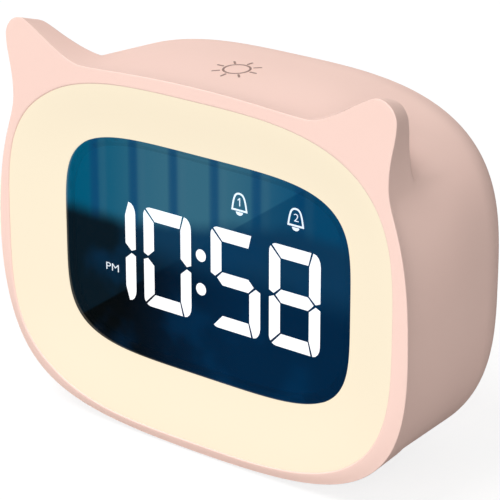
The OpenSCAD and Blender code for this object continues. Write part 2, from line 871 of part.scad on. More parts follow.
// One small light behind each bar of a digit, each dot, each bell and the window
led_w = 1.6;
led_h = 0.7;
function segment_middle(name) =
    let (near = stroke / 2, low = digit_h / 4)
        name == "a" ? [digit_w / 2, digit_h - near] :
        name == "b" ? [digit_w - near, digit_h - low] :
        name == "c" ? [digit_w - near, low] :
        name == "d" ? [digit_w / 2, near] :
        name == "e" ? [near, low] :
        name == "f" ? [near, digit_h - low] : [digit_w / 2, mid_v];

module segment_leds() {
    color("#f6e7a8")
        slab(frame_back_y - led_h, frame_back_y, lens_z) {
            for (names = [LIT, DARK])
                for (i = [0:3])
                    for (name = names[i])
                        translate([digit_left[i], digits_z - digit_h / 2] + segment_middle(name))
                            square(led_w, center = true);
            for (side = SIDES)
                translate([colon_x, digits_z + side * dot_z])
                    square(led_w, center = true);
            for (x = bell_x)
                translate([x, digits_z + bell_z])
                    square(led_w, center = true);
            translate([digit_left[0] + pm_in + pm_w / 2, digits_z - pm_drop + pm_h / 2])
                square(led_w, center = true);
        }
}

module display_board() {
    color(board_green)
        slab(frame_back_y, frame_back_y + board_t, lens_z)
            difference() {
                square([display_board_w, display_board_h], center = true);
                four(display_screw_x, display_screw_z)
                    circle(d = bore_d);
            }
}

module display_screws() {
    color(steel)
        for (sx = SIDES)
            for (sz = SIDES)
                facing_rear(
                    sx * display_screw_x, frame_back_y + board_t,
                    sz * display_screw_z - face_drop + lens_rise
                )
                    screw(board_t + frame_back);
}

// ---- Night light ----------------------------------------------------------------------

tub_inner_step = 1.2;
tub_inner = collar_out - tub_inner_step;
light_led_w = 3.5;
light_led_h = 1.2;
led_hole_gap = 0.3;

module ring_floor(inner_grow) {
    difference() {
        superellipse_shape(panel_w, panel_h, panel_power, -tub_in);
        translate([0, lens_rise])
            superellipse_shape(lens_w, lens_h, lens_power, inner_grow);
    }
}

module at_leds() {
    for (i = [0:led_count - 1])
        let (a = 360 * i / led_count)
            translate([channel_r(a) * sin(a), channel_r(a) * cos(a) + channel_rise])
                children();
}

module light_reflector() {
    color(white)
        difference() {
            union() {
                slab(reflector_y, light_board_y, face_z)
                    ring_floor(tub_inner - reflector_t);
                slab(dish_y(step_s) + panel_t + tub_rim_gap, light_board_y, face_z)
                    difference() {
                        superellipse_shape(panel_w, panel_h, panel_power, -tub_in);
                        superellipse_shape(panel_w, panel_h, panel_power, -tub_in - reflector_t);
                    }
                slab(flange_back_y, light_board_y, lens_z)
                    difference() {
                        superellipse_shape(lens_w, lens_h, lens_power, tub_inner);
                        superellipse_shape(lens_w, lens_h, lens_power, tub_inner - reflector_t);
                    }
            }
            slab(reflector_y - spare, light_board_y + spare, face_z)
                at_leds()
                    square(light_led_w + 2 * led_hole_gap, center = true);
            slab(reflector_y - spare, light_board_y + spare, face_z)
                at_posts()
                    circle(d = bore_d);
        }
}

module light_board() {
    color(white)
        slab(light_board_y, light_back_y, face_z)
            difference() {
                ring_floor(tub_inner);
                at_posts()
                    circle(d = bore_d);
            }
}

module light_leds() {
    color("#f6e7a8")
        slab(light_board_y - light_led_h, light_board_y, face_z)
            at_leds()
                square(light_led_w, center = true);
}

light_screw_bite = post_bore_l - 0.5;
module light_screws() {
    color(steel)
        for (sx = SIDES)
            for (sz = SIDES)
                facing_rear(
                    sx * post_x, light_back_y, sz * post_z - face_drop + channel_rise
                )
                    screw(board_t + reflector_t + light_screw_bite);
}

// ---- Rear cover -----------------------------------------------------------------------

grille_rings = 3;
speaker_wall = 1.4;
speaker_wall_h = 3;
speaker_gap = 0.3;
gasket_t = 0.5;
head_gap = 0.3;
head_floor = 0.8;
socket_gap = 0.3;
screw_tip_gap = 1;

// The main board: a bar behind the buttons, with a leg down beside the speaker
board_half_w = cover_screw_x - boss_d / 2 - board_side_gap;
standoff_x = board_half_w - standoff_in;
standoff_z = button_z - flange_r - standoff_gap - standoff_d / 2;
standoff_low_z = board_drop - standoff_in - 0.5;
board_waist = standoff_z - standoff_in + 0.2;
STANDOFFS = [
    [-standoff_x, standoff_z], [standoff_x, standoff_z],
    [board_leg_x + standoff_in, -standoff_low_z], [standoff_x, -standoff_low_z]
];

module at_standoffs() {
    for (p = STANDOFFS)
        translate(p)
            children();
}

module at_buttons() {
    for (i = [1:button_count])
        translate([button_x(i), button_z])
            children();
}
function button_x(i) = (i - (button_count + 1) / 2) * button_pitch;

module socket_shape(grow) {
    translate([socket_x, -socket_drop]) {
        for (side = SIDES)
            translate([side * (socket_w - socket_h) / 2, 0])
                circle(d = socket_h + 2 * grow);
        square([socket_w - socket_h, socket_h + 2 * grow], center = true);
    }
}

module grille_shape() {
    translate([-speaker_x, -speaker_drop]) {
        circle(d = grille_hole_d);
        for (j = [1:grille_rings])
            for (i = [0:6 * j - 1])
                rotate(60 * i / j)
                    translate([j * grille_step, 0])
                        circle(d = grille_hole_d);
    }
}

module rear_cover() {
    color(pink)
        difference() {
            union() {
                slab(cover_in_y, cover_out_y)
                    superellipse_shape(cover_w, cover_h, body_power);
                slab(board_back_y, cover_in_y)
                    at_standoffs()
                        circle(d = standoff_d);
                slab(cover_in_y - speaker_wall_h, cover_in_y)
                    translate([-speaker_x, -speaker_drop])
                        difference() {
                            circle(d = speaker_d + 2 * speaker_gap + 2 * speaker_wall);
                            circle(d = speaker_d + 2 * speaker_gap);
                        }
            }
            slab(board_back_y - spare, cover_in_y)
                at_standoffs()
                    circle(d = bore_d);
            slab(cover_in_y - spare, cover_out_y + spare) {
                at_buttons()
                    circle(d = button_d + 2 * button_gap);
                socket_shape(socket_gap);
                grille_shape();
                four(cover_screw_x, cover_screw_z)
                    circle(d = bore_d);
            }
            slab(cover_in_y + head_floor, cover_out_y + spare)
                four(cover_screw_x, cover_screw_z)
                    circle(d = screw_head_d + 2 * head_gap);
        }
}

module cover_screws() {
    color(steel)
        for (sx = SIDES)
            for (sz = SIDES)
                facing_rear(sx * cover_screw_x, cover_in_y + head_floor, sz * cover_screw_z)
                    screw(head_floor + cover_boss_h - screw_tip_gap);
}

// ---- Main board -----------------------------------------------------------------------

module main_board() {
    color(board_green)
        slab(board_front_y, board_back_y)
            difference() {
                polygon([
                    [-board_half_w, board_top], [board_half_w, board_top],
                    [board_half_w, -board_drop], [board_leg_x, -board_drop],
                    [board_leg_x, board_waist], [-board_half_w, board_waist]
                ]);
                at_standoffs()
                    circle(d = bore_d);
            }
}

module board_screws() {
    color(steel)
        for (p = STANDOFFS)
            facing_front(p.x, board_front_y, p.y)
                screw(board_t + standoff_h - screw_tip_gap);
}

// Chips as [x, z, width, height], placed from the board's edges
chip_h = 1.2;
chip_w = 8;
clock_chip_w = 5;
clock_chip_h = 4;
CHIPS = [
    [board_half_w - 1.3 * chip_w, chip_w / 2, chip_w, chip_w],
    [-board_half_w + 2.5 * clock_chip_w, board_top - 7, clock_chip_w, clock_chip_h],
    [board_leg_x + 7, -socket_drop + 2, clock_chip_h, clock_chip_w]
];
module main_chips() {
    color(black)
        slab(board_front_y - chip_h, board_front_y)
            for (chip = CHIPS)
                translate([chip[0], chip[1]])
                    square([chip[2], chip[3]], center = true);
}

// Sockets for the leads, and the middle of each as [x, z]
lead_socket_w = 5;
lead_socket_h = 3.6;
lead_socket_t = 3;
light_plug = [board_half_w - 2.1 * lead_socket_w, board_waist + 1.5 * lead_socket_h];
speaker_plug = [board_leg_x + 0.8 * lead_socket_w, -speaker_drop + lead_socket_h];
cell_plug = [board_half_w - 0.9 * lead_socket_w, -speaker_drop];
touch_plug = [-2.4 * lead_socket_w, board_top - 1.1 * lead_socket_h];
LEAD_PLUGS = [light_plug, speaker_plug, cell_plug, touch_plug];
ribbon_w = 12;
ribbon_plug_w = ribbon_w + 3;
ribbon_plug_h = 3.4;
ribbon_end_z = board_waist + 1.5 * lead_socket_h;
module lead_sockets() {
    color(white)
        slab(board_front_y - lead_socket_t, board_front_y) {
            for (p = LEAD_PLUGS)
                translate(p)
                    square([lead_socket_w, lead_socket_h], center = true);
            translate([0, ribbon_end_z])
                square([ribbon_plug_w, ribbon_plug_h], center = true);
        }
}

bore_depth = 1.7;
bore_floor_y = board_back_y + switch_h - bore_depth;
plunger_gap = 0.1;
pin_w = 0.7;
pin_t = 0.3;
pin_l = 1;
module switch_bodies() {
    color(black)
        difference() {
            union() {
                slab(board_back_y, board_back_y + switch_h)
                    at_buttons()
                        square(switch_w, center = true);
                slab(board_back_y, board_back_y + pin_t)
                    at_buttons()
                        for (sz = SIDES)
                            translate([0, sz * switch_w * 0.36])
                                square([switch_w + 2 * pin_l, pin_w], center = true);
            }
            slab(bore_floor_y, board_back_y + switch_h + spare)
                at_buttons()
                    circle(d = plunger_d + 2 * plunger_gap);
        }
}

cap_in_y = cover_in_y - cap_rest_gap - button_flange_t;
cap_h = cover_out_y + button_proud - cap_in_y;
cap_round = 0.4;
module cap(i) {
    color(white)
        facing_rear(button_x(i), cap_in_y, button_z)
            rotate_extrude()
                polygon([
                    [0, 0], [flange_r, 0], [flange_r, button_flange_t],
                    [cap_r, button_flange_t], [cap_r, cap_h - cap_round],
                    [cap_r - cap_round, cap_h], [0, cap_h]
                ]);
}

plunger_floor_gap = 0.2;
plunger_end_y = bore_floor_y + button_travel + plunger_floor_gap;
module plunger(i) {
    color(black)
        facing_rear(button_x(i), plunger_end_y, button_z)
            cylinder(d = plunger_d, h = cap_in_y - plunger_end_y);
}

socket_t = 0.3;
socket_back_t = 1;
tongue_t = 0.7;
tongue_in = 1.3;
module socket_shell() {
    color(steel)
        difference() {
            slab(board_back_y, board_back_y + socket_depth)
                socket_shape(0);
            slab(board_back_y + socket_back_t, board_back_y + socket_depth + spare)
                socket_shape(-socket_t);
        }
}

module socket_tongue() {
    color(black)
        slab(board_back_y + socket_back_t, board_back_y + socket_depth - tongue_in)
            translate([socket_x, -socket_drop])
                square([socket_w - 2 * tongue_in, tongue_t], center = true);
}

// ---- Speaker --------------------------------------------------------------------------

speaker_r = speaker_d / 2;
magnet_r = magnet_d / 2;
rim_h = 1.2;
rim_w = 3;
basket_t = 0.8;
cone_t = 0.6;
dust_cap_r = 5;
surround_w = 3;
magnet_bevel = 0.5;
basket_y = cover_in_y - gasket_t;

// The speaker lies face down on the cover, so its own Z axis points to the front
module at_speaker(y) {
    facing_front(-speaker_x, y, -speaker_drop)
        children();
}

module speaker_gasket() {
    color(black)
        at_speaker(cover_in_y)
            difference() {
                cylinder(d = speaker_d, h = gasket_t);
                translate([0, 0, -spare])
                    cylinder(r = speaker_r - rim_w, h = gasket_t + 2 * spare);
            }
}

module speaker_basket() {
    color(steel)
        at_speaker(basket_y)
            rotate_extrude()
                polygon([
                    [speaker_r - rim_w, 0], [speaker_r, 0], [speaker_r, rim_h],
                    [speaker_r - rim_w + basket_t, rim_h], [magnet_r + 1.5 * rim_h, speaker_h],
                    [0, speaker_h], [0, speaker_h - basket_t],
                    [magnet_r + rim_h, speaker_h - basket_t], [speaker_r - rim_w, rim_h / 1.5]
                ]);
}

// The cone, with its rolled surround at the rim and its dust cap in the middle
module speaker_cone() {
    edge = speaker_r - rim_w;
    color("#2b2b2e")
        at_speaker(basket_y)
            rotate_extrude()
                polygon([
                    [0, speaker_h - basket_t], [dust_cap_r, speaker_h - basket_t],
                    [edge - surround_w, 1.6 * cone_t], [edge - surround_w / 2, 0.9 * cone_t],
                    [edge, 1.2 * cone_t], [edge, 0.6 * cone_t],
                    [edge - surround_w / 2, 0.3 * cone_t], [edge - surround_w - 0.2, cone_t],
                    [dust_cap_r, speaker_h - 2.4 * cone_t - basket_t],
                    [0, speaker_h - cone_t - basket_t]
                ]);
}

module speaker_magnet() {
    color("#55585c")
        at_speaker(basket_y - speaker_h)
            rotate_extrude()
                polygon([
                    [0, 0], [magnet_r, 0], [magnet_r, magnet_h - magnet_bevel],
                    [magnet_r - magnet_bevel, magnet_h], [0, magnet_h]
                ]);
}

// ---- Cell -----------------------------------------------------------------------------

holder_side_h = 8;
head_pocket_gap = 0.3;
holder_head_floor = 0.8;

module battery_holder() {
    color(black)
        translate([0, cell_y - body_depth / 2, floor_top_z])
            difference() {
                translate([-holder_l / 2, -holder_w / 2, 0])
                    cube([holder_l, holder_w, holder_base_t + holder_side_h]);
                translate([0, 0, cell_z - floor_top_z])
                    rotate([0, 90, 0])
                        cylinder(
                            d = cell_d + 2 * holder_gap, h = cell_l + 2 * spring_space, center = true
                        );
                translate([-cell_l / 2 - spring_space, -cell_d / 2 - holder_gap, cell_z - floor_top_z])
                    cube([cell_l + 2 * spring_space, cell_d + 2 * holder_gap, cell_d]);
                for (sx = SIDES)
                    translate([sx * holder_screw_x, 0, 0]) {
                        translate([0, 0, -spare])
                            cylinder(d = bore_d, h = holder_base_t + 2 * spare);
                        translate([0, 0, holder_head_floor])
                            cylinder(d = screw_head_d + 2 * head_pocket_gap, h = holder_base_t);
                    }
            }
}

cell_edge = 0.5;
cell_cap_h = 1;
cell_cap_r = 3;
module battery_cell() {
    color("#3c7fb0")
        translate([-cell_l / 2, cell_y - body_depth / 2, cell_z])
            rotate([0, 90, 0])
                rotate_extrude()
                    polygon([
                        [0, 0], [cell_d / 2 - cell_edge, 0], [cell_d / 2, cell_edge],
                        [cell_d / 2, cell_l - cell_cap_h - cell_edge],
                        [cell_d / 2 - cell_edge, cell_l - cell_cap_h],
                        [cell_cap_r, cell_l - cell_cap_h], [cell_cap_r, cell_l], [0, cell_l]
                    ]);
}

contact_t = 0.4;
contact_w = 10;
contact_h = 10;
contact_top = 4;
spring_r1 = 2.5;
spring_r2 = 3.5;
module battery_contacts() {
    color(steel)
        for (sx = SIDES)
            translate([sx * cell_l / 2, cell_y - body_depth / 2, cell_z]) {
                rotate([0, sx * 90, 0])
                    cylinder(r1 = spring_r1, r2 = spring_r2, h = spring_space - contact_t);
                translate([sx * (spring_space - contact_t / 2), 0, contact_top - contact_h / 2])
                    cube([contact_t, contact_w, contact_h], center = true);
            }
}

module holder_screws() {
    color(steel)
        at_holder_screws(floor_top_z + holder_head_floor)
            screw(holder_screw_l);
}

// ---- Touch pad and leads --------------------------------------------------------------

pad_t = 0.4;
module touch_pad() {
    color("#c98a4b")
        translate([0, touch_y - body_depth / 2, mid_z + touch_boss_z - pad_t])
            cylinder(d = touch_d, h = pad_t);
}

lead_r = 0.7;
lead_sides = 8;
lead_steps = 9;

// A soft curve between two ends that leave along their own directions, and its direction
function route_point(p0, d0, d1, p1, t) =
    let (u = 1 - t)
        u * u * u * p0 + 3 * u * u * t * (p0 + d0) + 3 * u * t * t * (p1 + d1) + t * t * t * p1;
function route_way(p0, d0, d1, p1, t) =
    let (u = 1 - t, v = u * u * d0 + 2 * u * t * (p1 + d1 - p0 - d0) - t * t * d1) v / norm(v);

// A round lead from p0 to p1, as [x, y, z] with y from the front face and z from the middle of
// the body. It leaves p0 along d0 and p1 along d1, so each end lies flat on its piece.
module lead(p0, d0, d1, p1) {
    across = [1, 0, 2];
    points = [
        for (i = [0:lead_steps])
            let (
                t = i / lead_steps,
                way = route_way(p0, d0, d1, p1, t),
                side = cross(way, across) / norm(cross(way, across)),
                up = cross(side, way),
                middle = route_point(p0, d0, d1, p1, t) + [0, -body_depth / 2, mid_z]
            )
                for (k = [0:lead_sides - 1])
                    let (a = 360 * k / lead_sides) middle + lead_r * (cos(a) * side + sin(a) * up)
    ];
    faces = concat(
        [[for (k = [0:lead_sides - 1]) k]],
        [
            for (i = [0:lead_steps - 1])
                for (k = [0:lead_sides - 1])
                    let (
                        n = (k + 1) % lead_sides,
                        a = i * lead_sides + k,
                        b = i * lead_sides + n
                    )
                        each [[a, a + lead_sides, b + lead_sides], [a, b + lead_sides, b]]
        ],
        [[for (k = [lead_sides - 1:-1:0]) lead_steps * lead_sides + k]]
    );
    color("#c23b3b")
        polyhedron(points, faces);
}

// Where the leads end on the main board's sockets, and how far they run straight out
lead_end_y = board_front_y - lead_socket_t;
lead_out = 6;
long_out = 9;
function on_plug(plug) = [plug.x, lead_end_y, plug.y];

module touch_lead() {
    lead([0, touch_y, touch_boss_z - pad_t], [0, 0, -lead_out], [0, -long_out, 0], on_plug(touch_plug));
}

// The light board's lead starts at its right side, clear of the display
light_lead_z = 6;
light_lead_x = (lens_w + panel_w) / 4 - 1.7;
module light_lead() {
    lead(
        [light_lead_x, light_back_y, light_lead_z], [0, long_out, 0],
        [0, -long_out, 0], on_plug(light_plug)
    );
}

speaker_lead_r = magnet_r + 0.9 * rim_h;
module speaker_lead() {
    lead(
        [speaker_lead_r - speaker_x, basket_y - speaker_h, -speaker_drop], [0, -lead_out, 0],
        [0, -lead_out, 0], on_plug(speaker_plug)
    );
}

cell_lead_x = cell_l / 2 + spring_space - contact_t / 2;
module battery_lead() {
    lead(
        [cell_lead_x, cell_y, cell_z - mid_z + contact_top], [0, 0, lead_out],
        [0, -lead_out, 0], on_plug(cell_plug)
    );
}

// A flat flexible ribbon from the display board to the main board
ribbon_t = 0.3;
ribbon_steps = 10;
ribbon_start_z = 6;
ribbon_out = 10;
module display_ribbon() {
    start = [0, frame_back_y + board_t, ribbon_start_z - face_drop + lens_rise];
    end = [0, lead_end_y, ribbon_end_z];
    way = [0, ribbon_out, 0];
    path = [for (i = [0:ribbon_steps]) route_point(start, way, -way, end, i / ribbon_steps)];
    color("#d8b26a")
        translate([-ribbon_w / 2, -body_depth / 2, mid_z])
            rotate([90, 0, 90])
                linear_extrude(ribbon_w)
                    polygon(concat(
                        [for (p = path) [p.y, p.z]],
                        [for (i = [ribbon_steps:-1:0]) [path[i].y, path[i].z - ribbon_t]]
                    ));
}

// ---- Feet -----------------------------------------------------------------------------

module rubber_feet() {
    color("#8d8480")
        at_feet()
            linear_extrude(foot_t)
                foot_shape(0);
}

housing();
light_panel();
smoked_lens();
lens_tape();
display_frame();
lit_segments();
unlit_segments();
colon_dots();
alarm_bells();
pm_window();
segment_leds();
display_board();
display_screws();
light_reflector();
light_board();
light_leds();
light_screws();
rear_cover();
cover_screws();
main_board();
board_screws();
main_chips();
lead_sockets();
switch_bodies();
cap(1);  // button_1
cap(2);  // button_2
cap(3);  // button_3
cap(4);  // button_4
cap(5);  // button_5
plunger(1);  // plunger_1
plunger(2);  // plunger_2
plunger(3);  // plunger_3
plunger(4);  // plunger_4
plunger(5);  // plunger_5
socket_shell();
socket_tongue();
speaker_basket();
speaker_cone();
speaker_magnet();
speaker_gasket();
battery_cell();
battery_holder();
battery_contacts();
holder_screws();
touch_pad();
touch_lead();
light_lead();
speaker_lead();
battery_lead();
display_ribbon();
rubber_feet();
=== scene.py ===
"""Dresses a small two-eared bedside alarm clock with a night light.

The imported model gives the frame: every node, its place and the body it moves with. The
classes below build the visible pieces at full smoothness in that frame and give every piece
and every node the finish of its real material. Sizes in the dataclasses are millimetres, with
depths counted from the front face and heights from the table, and meshes are metres.
"""
import logging
import math
from contextlib import contextmanager
from dataclasses import dataclass, field
from enum import Enum
from typing import Dict, Iterator, List, Optional, Sequence, Tuple

import bmesh
import bpy
from mathutils import Matrix, Vector


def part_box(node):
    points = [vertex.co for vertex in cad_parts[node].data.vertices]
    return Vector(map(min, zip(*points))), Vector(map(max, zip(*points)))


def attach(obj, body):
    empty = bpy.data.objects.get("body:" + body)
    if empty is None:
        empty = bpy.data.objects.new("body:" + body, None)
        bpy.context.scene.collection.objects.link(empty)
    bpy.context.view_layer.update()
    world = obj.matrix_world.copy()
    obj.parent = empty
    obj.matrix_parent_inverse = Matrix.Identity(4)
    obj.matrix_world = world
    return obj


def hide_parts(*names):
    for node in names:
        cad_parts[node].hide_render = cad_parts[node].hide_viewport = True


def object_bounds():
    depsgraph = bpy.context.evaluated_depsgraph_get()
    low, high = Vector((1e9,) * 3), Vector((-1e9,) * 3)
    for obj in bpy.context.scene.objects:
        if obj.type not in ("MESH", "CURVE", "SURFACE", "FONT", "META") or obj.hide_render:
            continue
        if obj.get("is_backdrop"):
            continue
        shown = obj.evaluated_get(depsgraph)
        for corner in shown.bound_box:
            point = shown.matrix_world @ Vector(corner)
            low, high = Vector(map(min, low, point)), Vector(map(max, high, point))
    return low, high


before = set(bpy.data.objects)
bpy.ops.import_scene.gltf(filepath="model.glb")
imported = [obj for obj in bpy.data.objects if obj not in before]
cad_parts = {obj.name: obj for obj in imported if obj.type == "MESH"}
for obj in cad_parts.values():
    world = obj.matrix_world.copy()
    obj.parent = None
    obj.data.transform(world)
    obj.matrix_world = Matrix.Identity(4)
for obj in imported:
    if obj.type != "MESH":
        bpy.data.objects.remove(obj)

LOG = logging.getLogger("alarm_clock")
MM = 0.001
PER_METRE = 1000.0
FLAT_WITHIN = math.radians(0.6)
# Where most values of a noise lie, for its clouds and for its grain
CLOUD_LOW, CLOUD_HIGH = 0.35, 0.7
GRAIN_LOW, GRAIN_HIGH = 0.3, 0.7
WHITE = (1.0, 1.0, 1.0, 1.0)
MATH = "ShaderNodeMath."
Point = Tuple[float, float]
Spot = Tuple[float, float, float]
Colour = Tuple[float, float, float, float]
Feeds = Dict[object, object]


# ---- Small shared tools -----------------------------------------------------------------


def linear(hex_colour: str) -> Colour:
    """Turns an sRGB hex colour into linear light.

    Args:
        hex_colour: Six hex digits, with or without a leading hash.

    Returns:
        Red, green, blue and an alpha of 1, in linear light.
    """
    digits = hex_colour.lstrip("#")
    parts = [int(digits[i:i + 2], 16) / 255 for i in (0, 2, 4)]
    light = [c / 12.92 if c <= 0.04045 else ((c + 0.055) / 1.055) ** 2.4 for c in parts]
    return (light[0], light[1], light[2], 1.0)


def add_node(tree: bpy.types.NodeTree, kind: str, feeds: Optional[Feeds] = None,
             **settings: object) -> bpy.types.Node:
    """Adds one node with its settings and what feeds its inputs.

    Args:
        tree: The shader or geometry tree that gets the node.
        kind: The node's type name.
        feeds: For each input, by name or number, a constant, the socket or node that feeds
            it, or a list of those that feed it together.
        **settings: The node's own properties.

    Returns:
        The new node.
    """
    node = tree.nodes.new(kind)
    for name, value in settings.items():
        setattr(node, name, value)
    for key, value in (feeds or {}).items():
        for source in value if isinstance(value, list) else [value]:
            if isinstance(source, bpy.types.Node):
                source = next(socket for socket in source.outputs if socket.enabled)
            if isinstance(source, bpy.types.NodeSocket):
                tree.links.new(source, node.inputs[key])
            else:
                node.inputs[key].default_value = source
    return node


def add_nodes(tree: bpy.types.NodeTree, known: Dict[str, object],
              rows: Sequence[Sequence[object]]) -> Dict[str, object]:
    """Adds named nodes in order, each fed by constants and by earlier nodes.

    Args:
        tree: The shader or geometry tree that gets the nodes.
        known: Nodes and sockets by name, to which the new nodes are added.
        rows: Each node's name, type and feeds, and its settings where it has any. A type may
            end in the node's operation, and a feed's name in the output that it means.

    Returns:
        The nodes and sockets by name.
    """
    def found(feed: object) -> object:
        """Gives what a feed's name stands for, or the constant itself."""
        if isinstance(feed, list):
            return [found(one) for one in feed]
        if not isinstance(feed, str):
            return feed
        name, _, output = feed.partition(".")
        return known[name].outputs[output] if output else known[name]

    for name, kind, feeds, *more in rows:
        kind, _, operation = kind.partition(".")
        settings = {**(more[0] if more else {}), **({"operation": operation} if operation else {})}
        numbered = feeds if isinstance(feeds, dict) else dict(enumerate(feeds))
        known[name] = add_node(tree, kind, {key: found(feed) for key, feed in numbered.items()},
                               **settings)
    return known


def cleared_tree(owner: bpy.types.ID) -> bpy.types.NodeTree:
    """Turns on the nodes of a material or a world and clears them.

    Args:
        owner: The material or world.

    Returns:
        The emptied tree.
    """
    owner.use_nodes = True
    owner.node_tree.nodes.clear()
    return owner.node_tree


def shape_tree(name: str, inputs: Dict[str, str],
               rows: Sequence[Sequence[object]]) -> bpy.types.NodeTree:
    """Builds a geometry tree that ends in real geometry with its material set.

    Args:
        name: The tree's name.
        inputs: The type of each size that it takes, by name. The material is added to them.
        rows: Its nodes, as add_nodes takes them. The one called shape is the result.

    Returns:
        The tree, whose material input is called Finish.
    """
    group = bpy.data.node_groups.new(name, "GeometryNodeTree")
    for label, kind in {**inputs, "Finish": "Material"}.items():
        group.interface.new_socket(label, in_out="INPUT", socket_type=f"NodeSocket{kind}")
    group.interface.new_socket("Mesh", in_out="OUTPUT", socket_type="NodeSocketGeometry")
    given = add_node(group, "NodeGroupInput").outputs
    add_nodes(group, {label: given[label] for label in (*inputs, "Finish")}, (
        *rows,
        ("real", "GeometryNodeRealizeInstances", ("shape",)),
        ("finished", "GeometryNodeSetMaterial", {"Geometry": "real", "Material": "Finish"}),
        ("result", "NodeGroupOutput", ("finished",)),
    ))
    return group


def eased(share: float) -> float:
    """Keeps a share between 0 and 1, with both ends of its run softened."""
    share = min(1.0, max(0.0, share))
    return share * share * (3 - 2 * share)


def evenly(first: float, last: float, steps: int) -> List[float]:
    """Gives the values at both ends and at equal steps between them."""
    return [first + (last - first) * i / steps for i in range(steps + 1)]


def quarter(steps: int) -> List[Point]:
    """Gives the sine and the cosine of each angle of a quarter turn in equal steps."""
    return [(math.sin(a), math.cos(a))
            for a in (math.radians(90 * i / steps) for i in range(steps + 1))]


def in_place(x: float, y: float, z: float) -> Spot:
    """Turns X, depth behind the front face and height in mm into a point in metres."""
    return (x * MM, (y - BODY.depth / 2) * MM, z * MM)


def added(name: str, data: bpy.types.ID) -> bpy.types.Object:
    """Puts a new object with this data in the scene.

    Args:
        name: The object's name.
        data: Its mesh, curve, light or camera.

    Returns:
        The new object, at the origin.
    """
    thing = bpy.data.objects.new(name, data)
    bpy.context.scene.collection.objects.link(thing)
    return thing


def link_mesh(name: str, verts: Sequence[Sequence[float]],
              faces: Sequence[Sequence[int]]) -> bpy.types.Object:
    """Makes a mesh object in the scene.

    Args:
        name: The piece's name.
        verts: Points in metres.
        faces: Lists of point numbers.

    Returns:
        The new object, at the origin.
    """
    mesh = bpy.data.meshes.new(name)
    mesh.from_pydata([tuple(v) for v in verts], [], [tuple(f) for f in faces])
    mesh.validate()
    return added(name, mesh)


@contextmanager
def sculpting(piece: bpy.types.Object) -> Iterator[bmesh.types.BMesh]:
    """Opens a piece's mesh for changes.

    Args:
        piece: The piece to change.

    Returns:
        The open mesh, which is written back at the end.
    """
    sculpt = bmesh.new()
    sculpt.from_mesh(piece.data)
    yield sculpt
    sculpt.to_mesh(piece.data)
    sculpt.free()


def smooth(piece: bpy.types.Object, sharp_from: float = 32.0) -> bpy.types.Object:
    """Shades a piece smooth, with its steep edges left sharp.

    Args:
        piece: The piece to shade.
        sharp_from: The angle in degrees from which an edge stays sharp.

    Returns:
        The same piece.
    """
    piece.data.shade_smooth()
    piece.data.set_sharp_from_angle(angle=math.radians(sharp_from))
    return piece


def face_outwards(piece: bpy.types.Object, weld: float = 0.0) -> None:
    """Turns every face of a piece outwards.

    Args:
        piece: A closed piece.
        weld: How close doubles lie that are merged first, in metres, or 0.
    """
    with sculpting(piece) as sculpt:
        if weld:
            bmesh.ops.remove_doubles(sculpt, verts=sculpt.verts, dist=weld)
        bmesh.ops.recalc_face_normals(sculpt, faces=sculpt.faces)


def plain_mesh(piece: bpy.types.Object) -> bpy.types.Mesh:
    """Gives a piece's final shape as a mesh of its own.

    Args:
        piece: An object with modifiers, or text.

    Returns:
        The evaluated mesh.
    """
    bpy.context.view_layer.update()
    graph = bpy.context.evaluated_depsgraph_get()
    return bpy.data.meshes.new_from_object(piece.evaluated_get(graph))


def settle(piece: bpy.types.Object) -> bpy.types.Object:
    """Applies every modifier of a piece.

    Args:
        piece: An object with live modifiers.

    Returns:
        The same object with a plain mesh and no modifiers.
    """
    mesh = plain_mesh(piece)
    piece.modifiers.clear()
    piece.data = mesh
    return piece


def grown(name: str, tree: bpy.types.NodeTree, sizes: Dict[str, object]) -> bpy.types.Object:
    """Runs a node tree on an empty mesh and keeps the result.

    Args:
        name: The piece's name.
        tree: The tree to run.
        sizes: The value of each of the tree's inputs, by name.

    Returns:
        A piece with a plain mesh and no modifier.
    """
    piece = link_mesh(name, [], [])
    modifier = piece.modifiers.new("grow", "NODES")
    modifier.node_group = tree
    for item in tree.interface.items_tree:
        if item.in_out == "INPUT" and item.name in sizes:
            modifier[item.identifier] = sizes[item.name]
    return settle(piece)


def round_edges(piece: bpy.types.Object, width: float, steeper: float) -> None:
    """Adds a rounding to a piece's steep edges.

    Args:
        piece: The piece to round.
        width: Width of the rounding in mm.
        steeper: The angle in degrees from which an edge is rounded.
    """
    bevel = piece.modifiers.new("edge", "BEVEL")
    bevel.width = width * MM
    bevel.segments = 3
    bevel.limit_method = "ANGLE"
    bevel.angle_limit = math.radians(steeper)


def loft(name: str, rows: Sequence[Sequence[Sequence[float]]], closed: bool = True,
         capped: bool = False) -> bpy.types.Object:
    """Skins rows of rings with quads.

    Args:
        name: The piece's name.
        rows: Rings with equal numbers of points in metres.
        closed: Whether the last row joins the first, as on a tube of rings.
        capped: Whether the first and the last ring get a flat face.

    Returns:
        The new piece with its faces turned outwards.
    """
    count = len(rows[0])
    verts = [p for row in rows for p in row]
    faces: List[List[int]] = []
    for j in range(len(rows) if closed else len(rows) - 1):
        k = (j + 1) % len(rows)
        for i in range(count):
            n = (i + 1) % count
            faces.append([j * count + i, j * count + n, k * count + n, k * count + i])
    if capped:
        faces.append(list(range(count)))
        faces.append([(len(rows) - 1) * count + i for i in range(count)])
    piece = link_mesh(name, verts, faces)
    face_outwards(piece)
    return piece


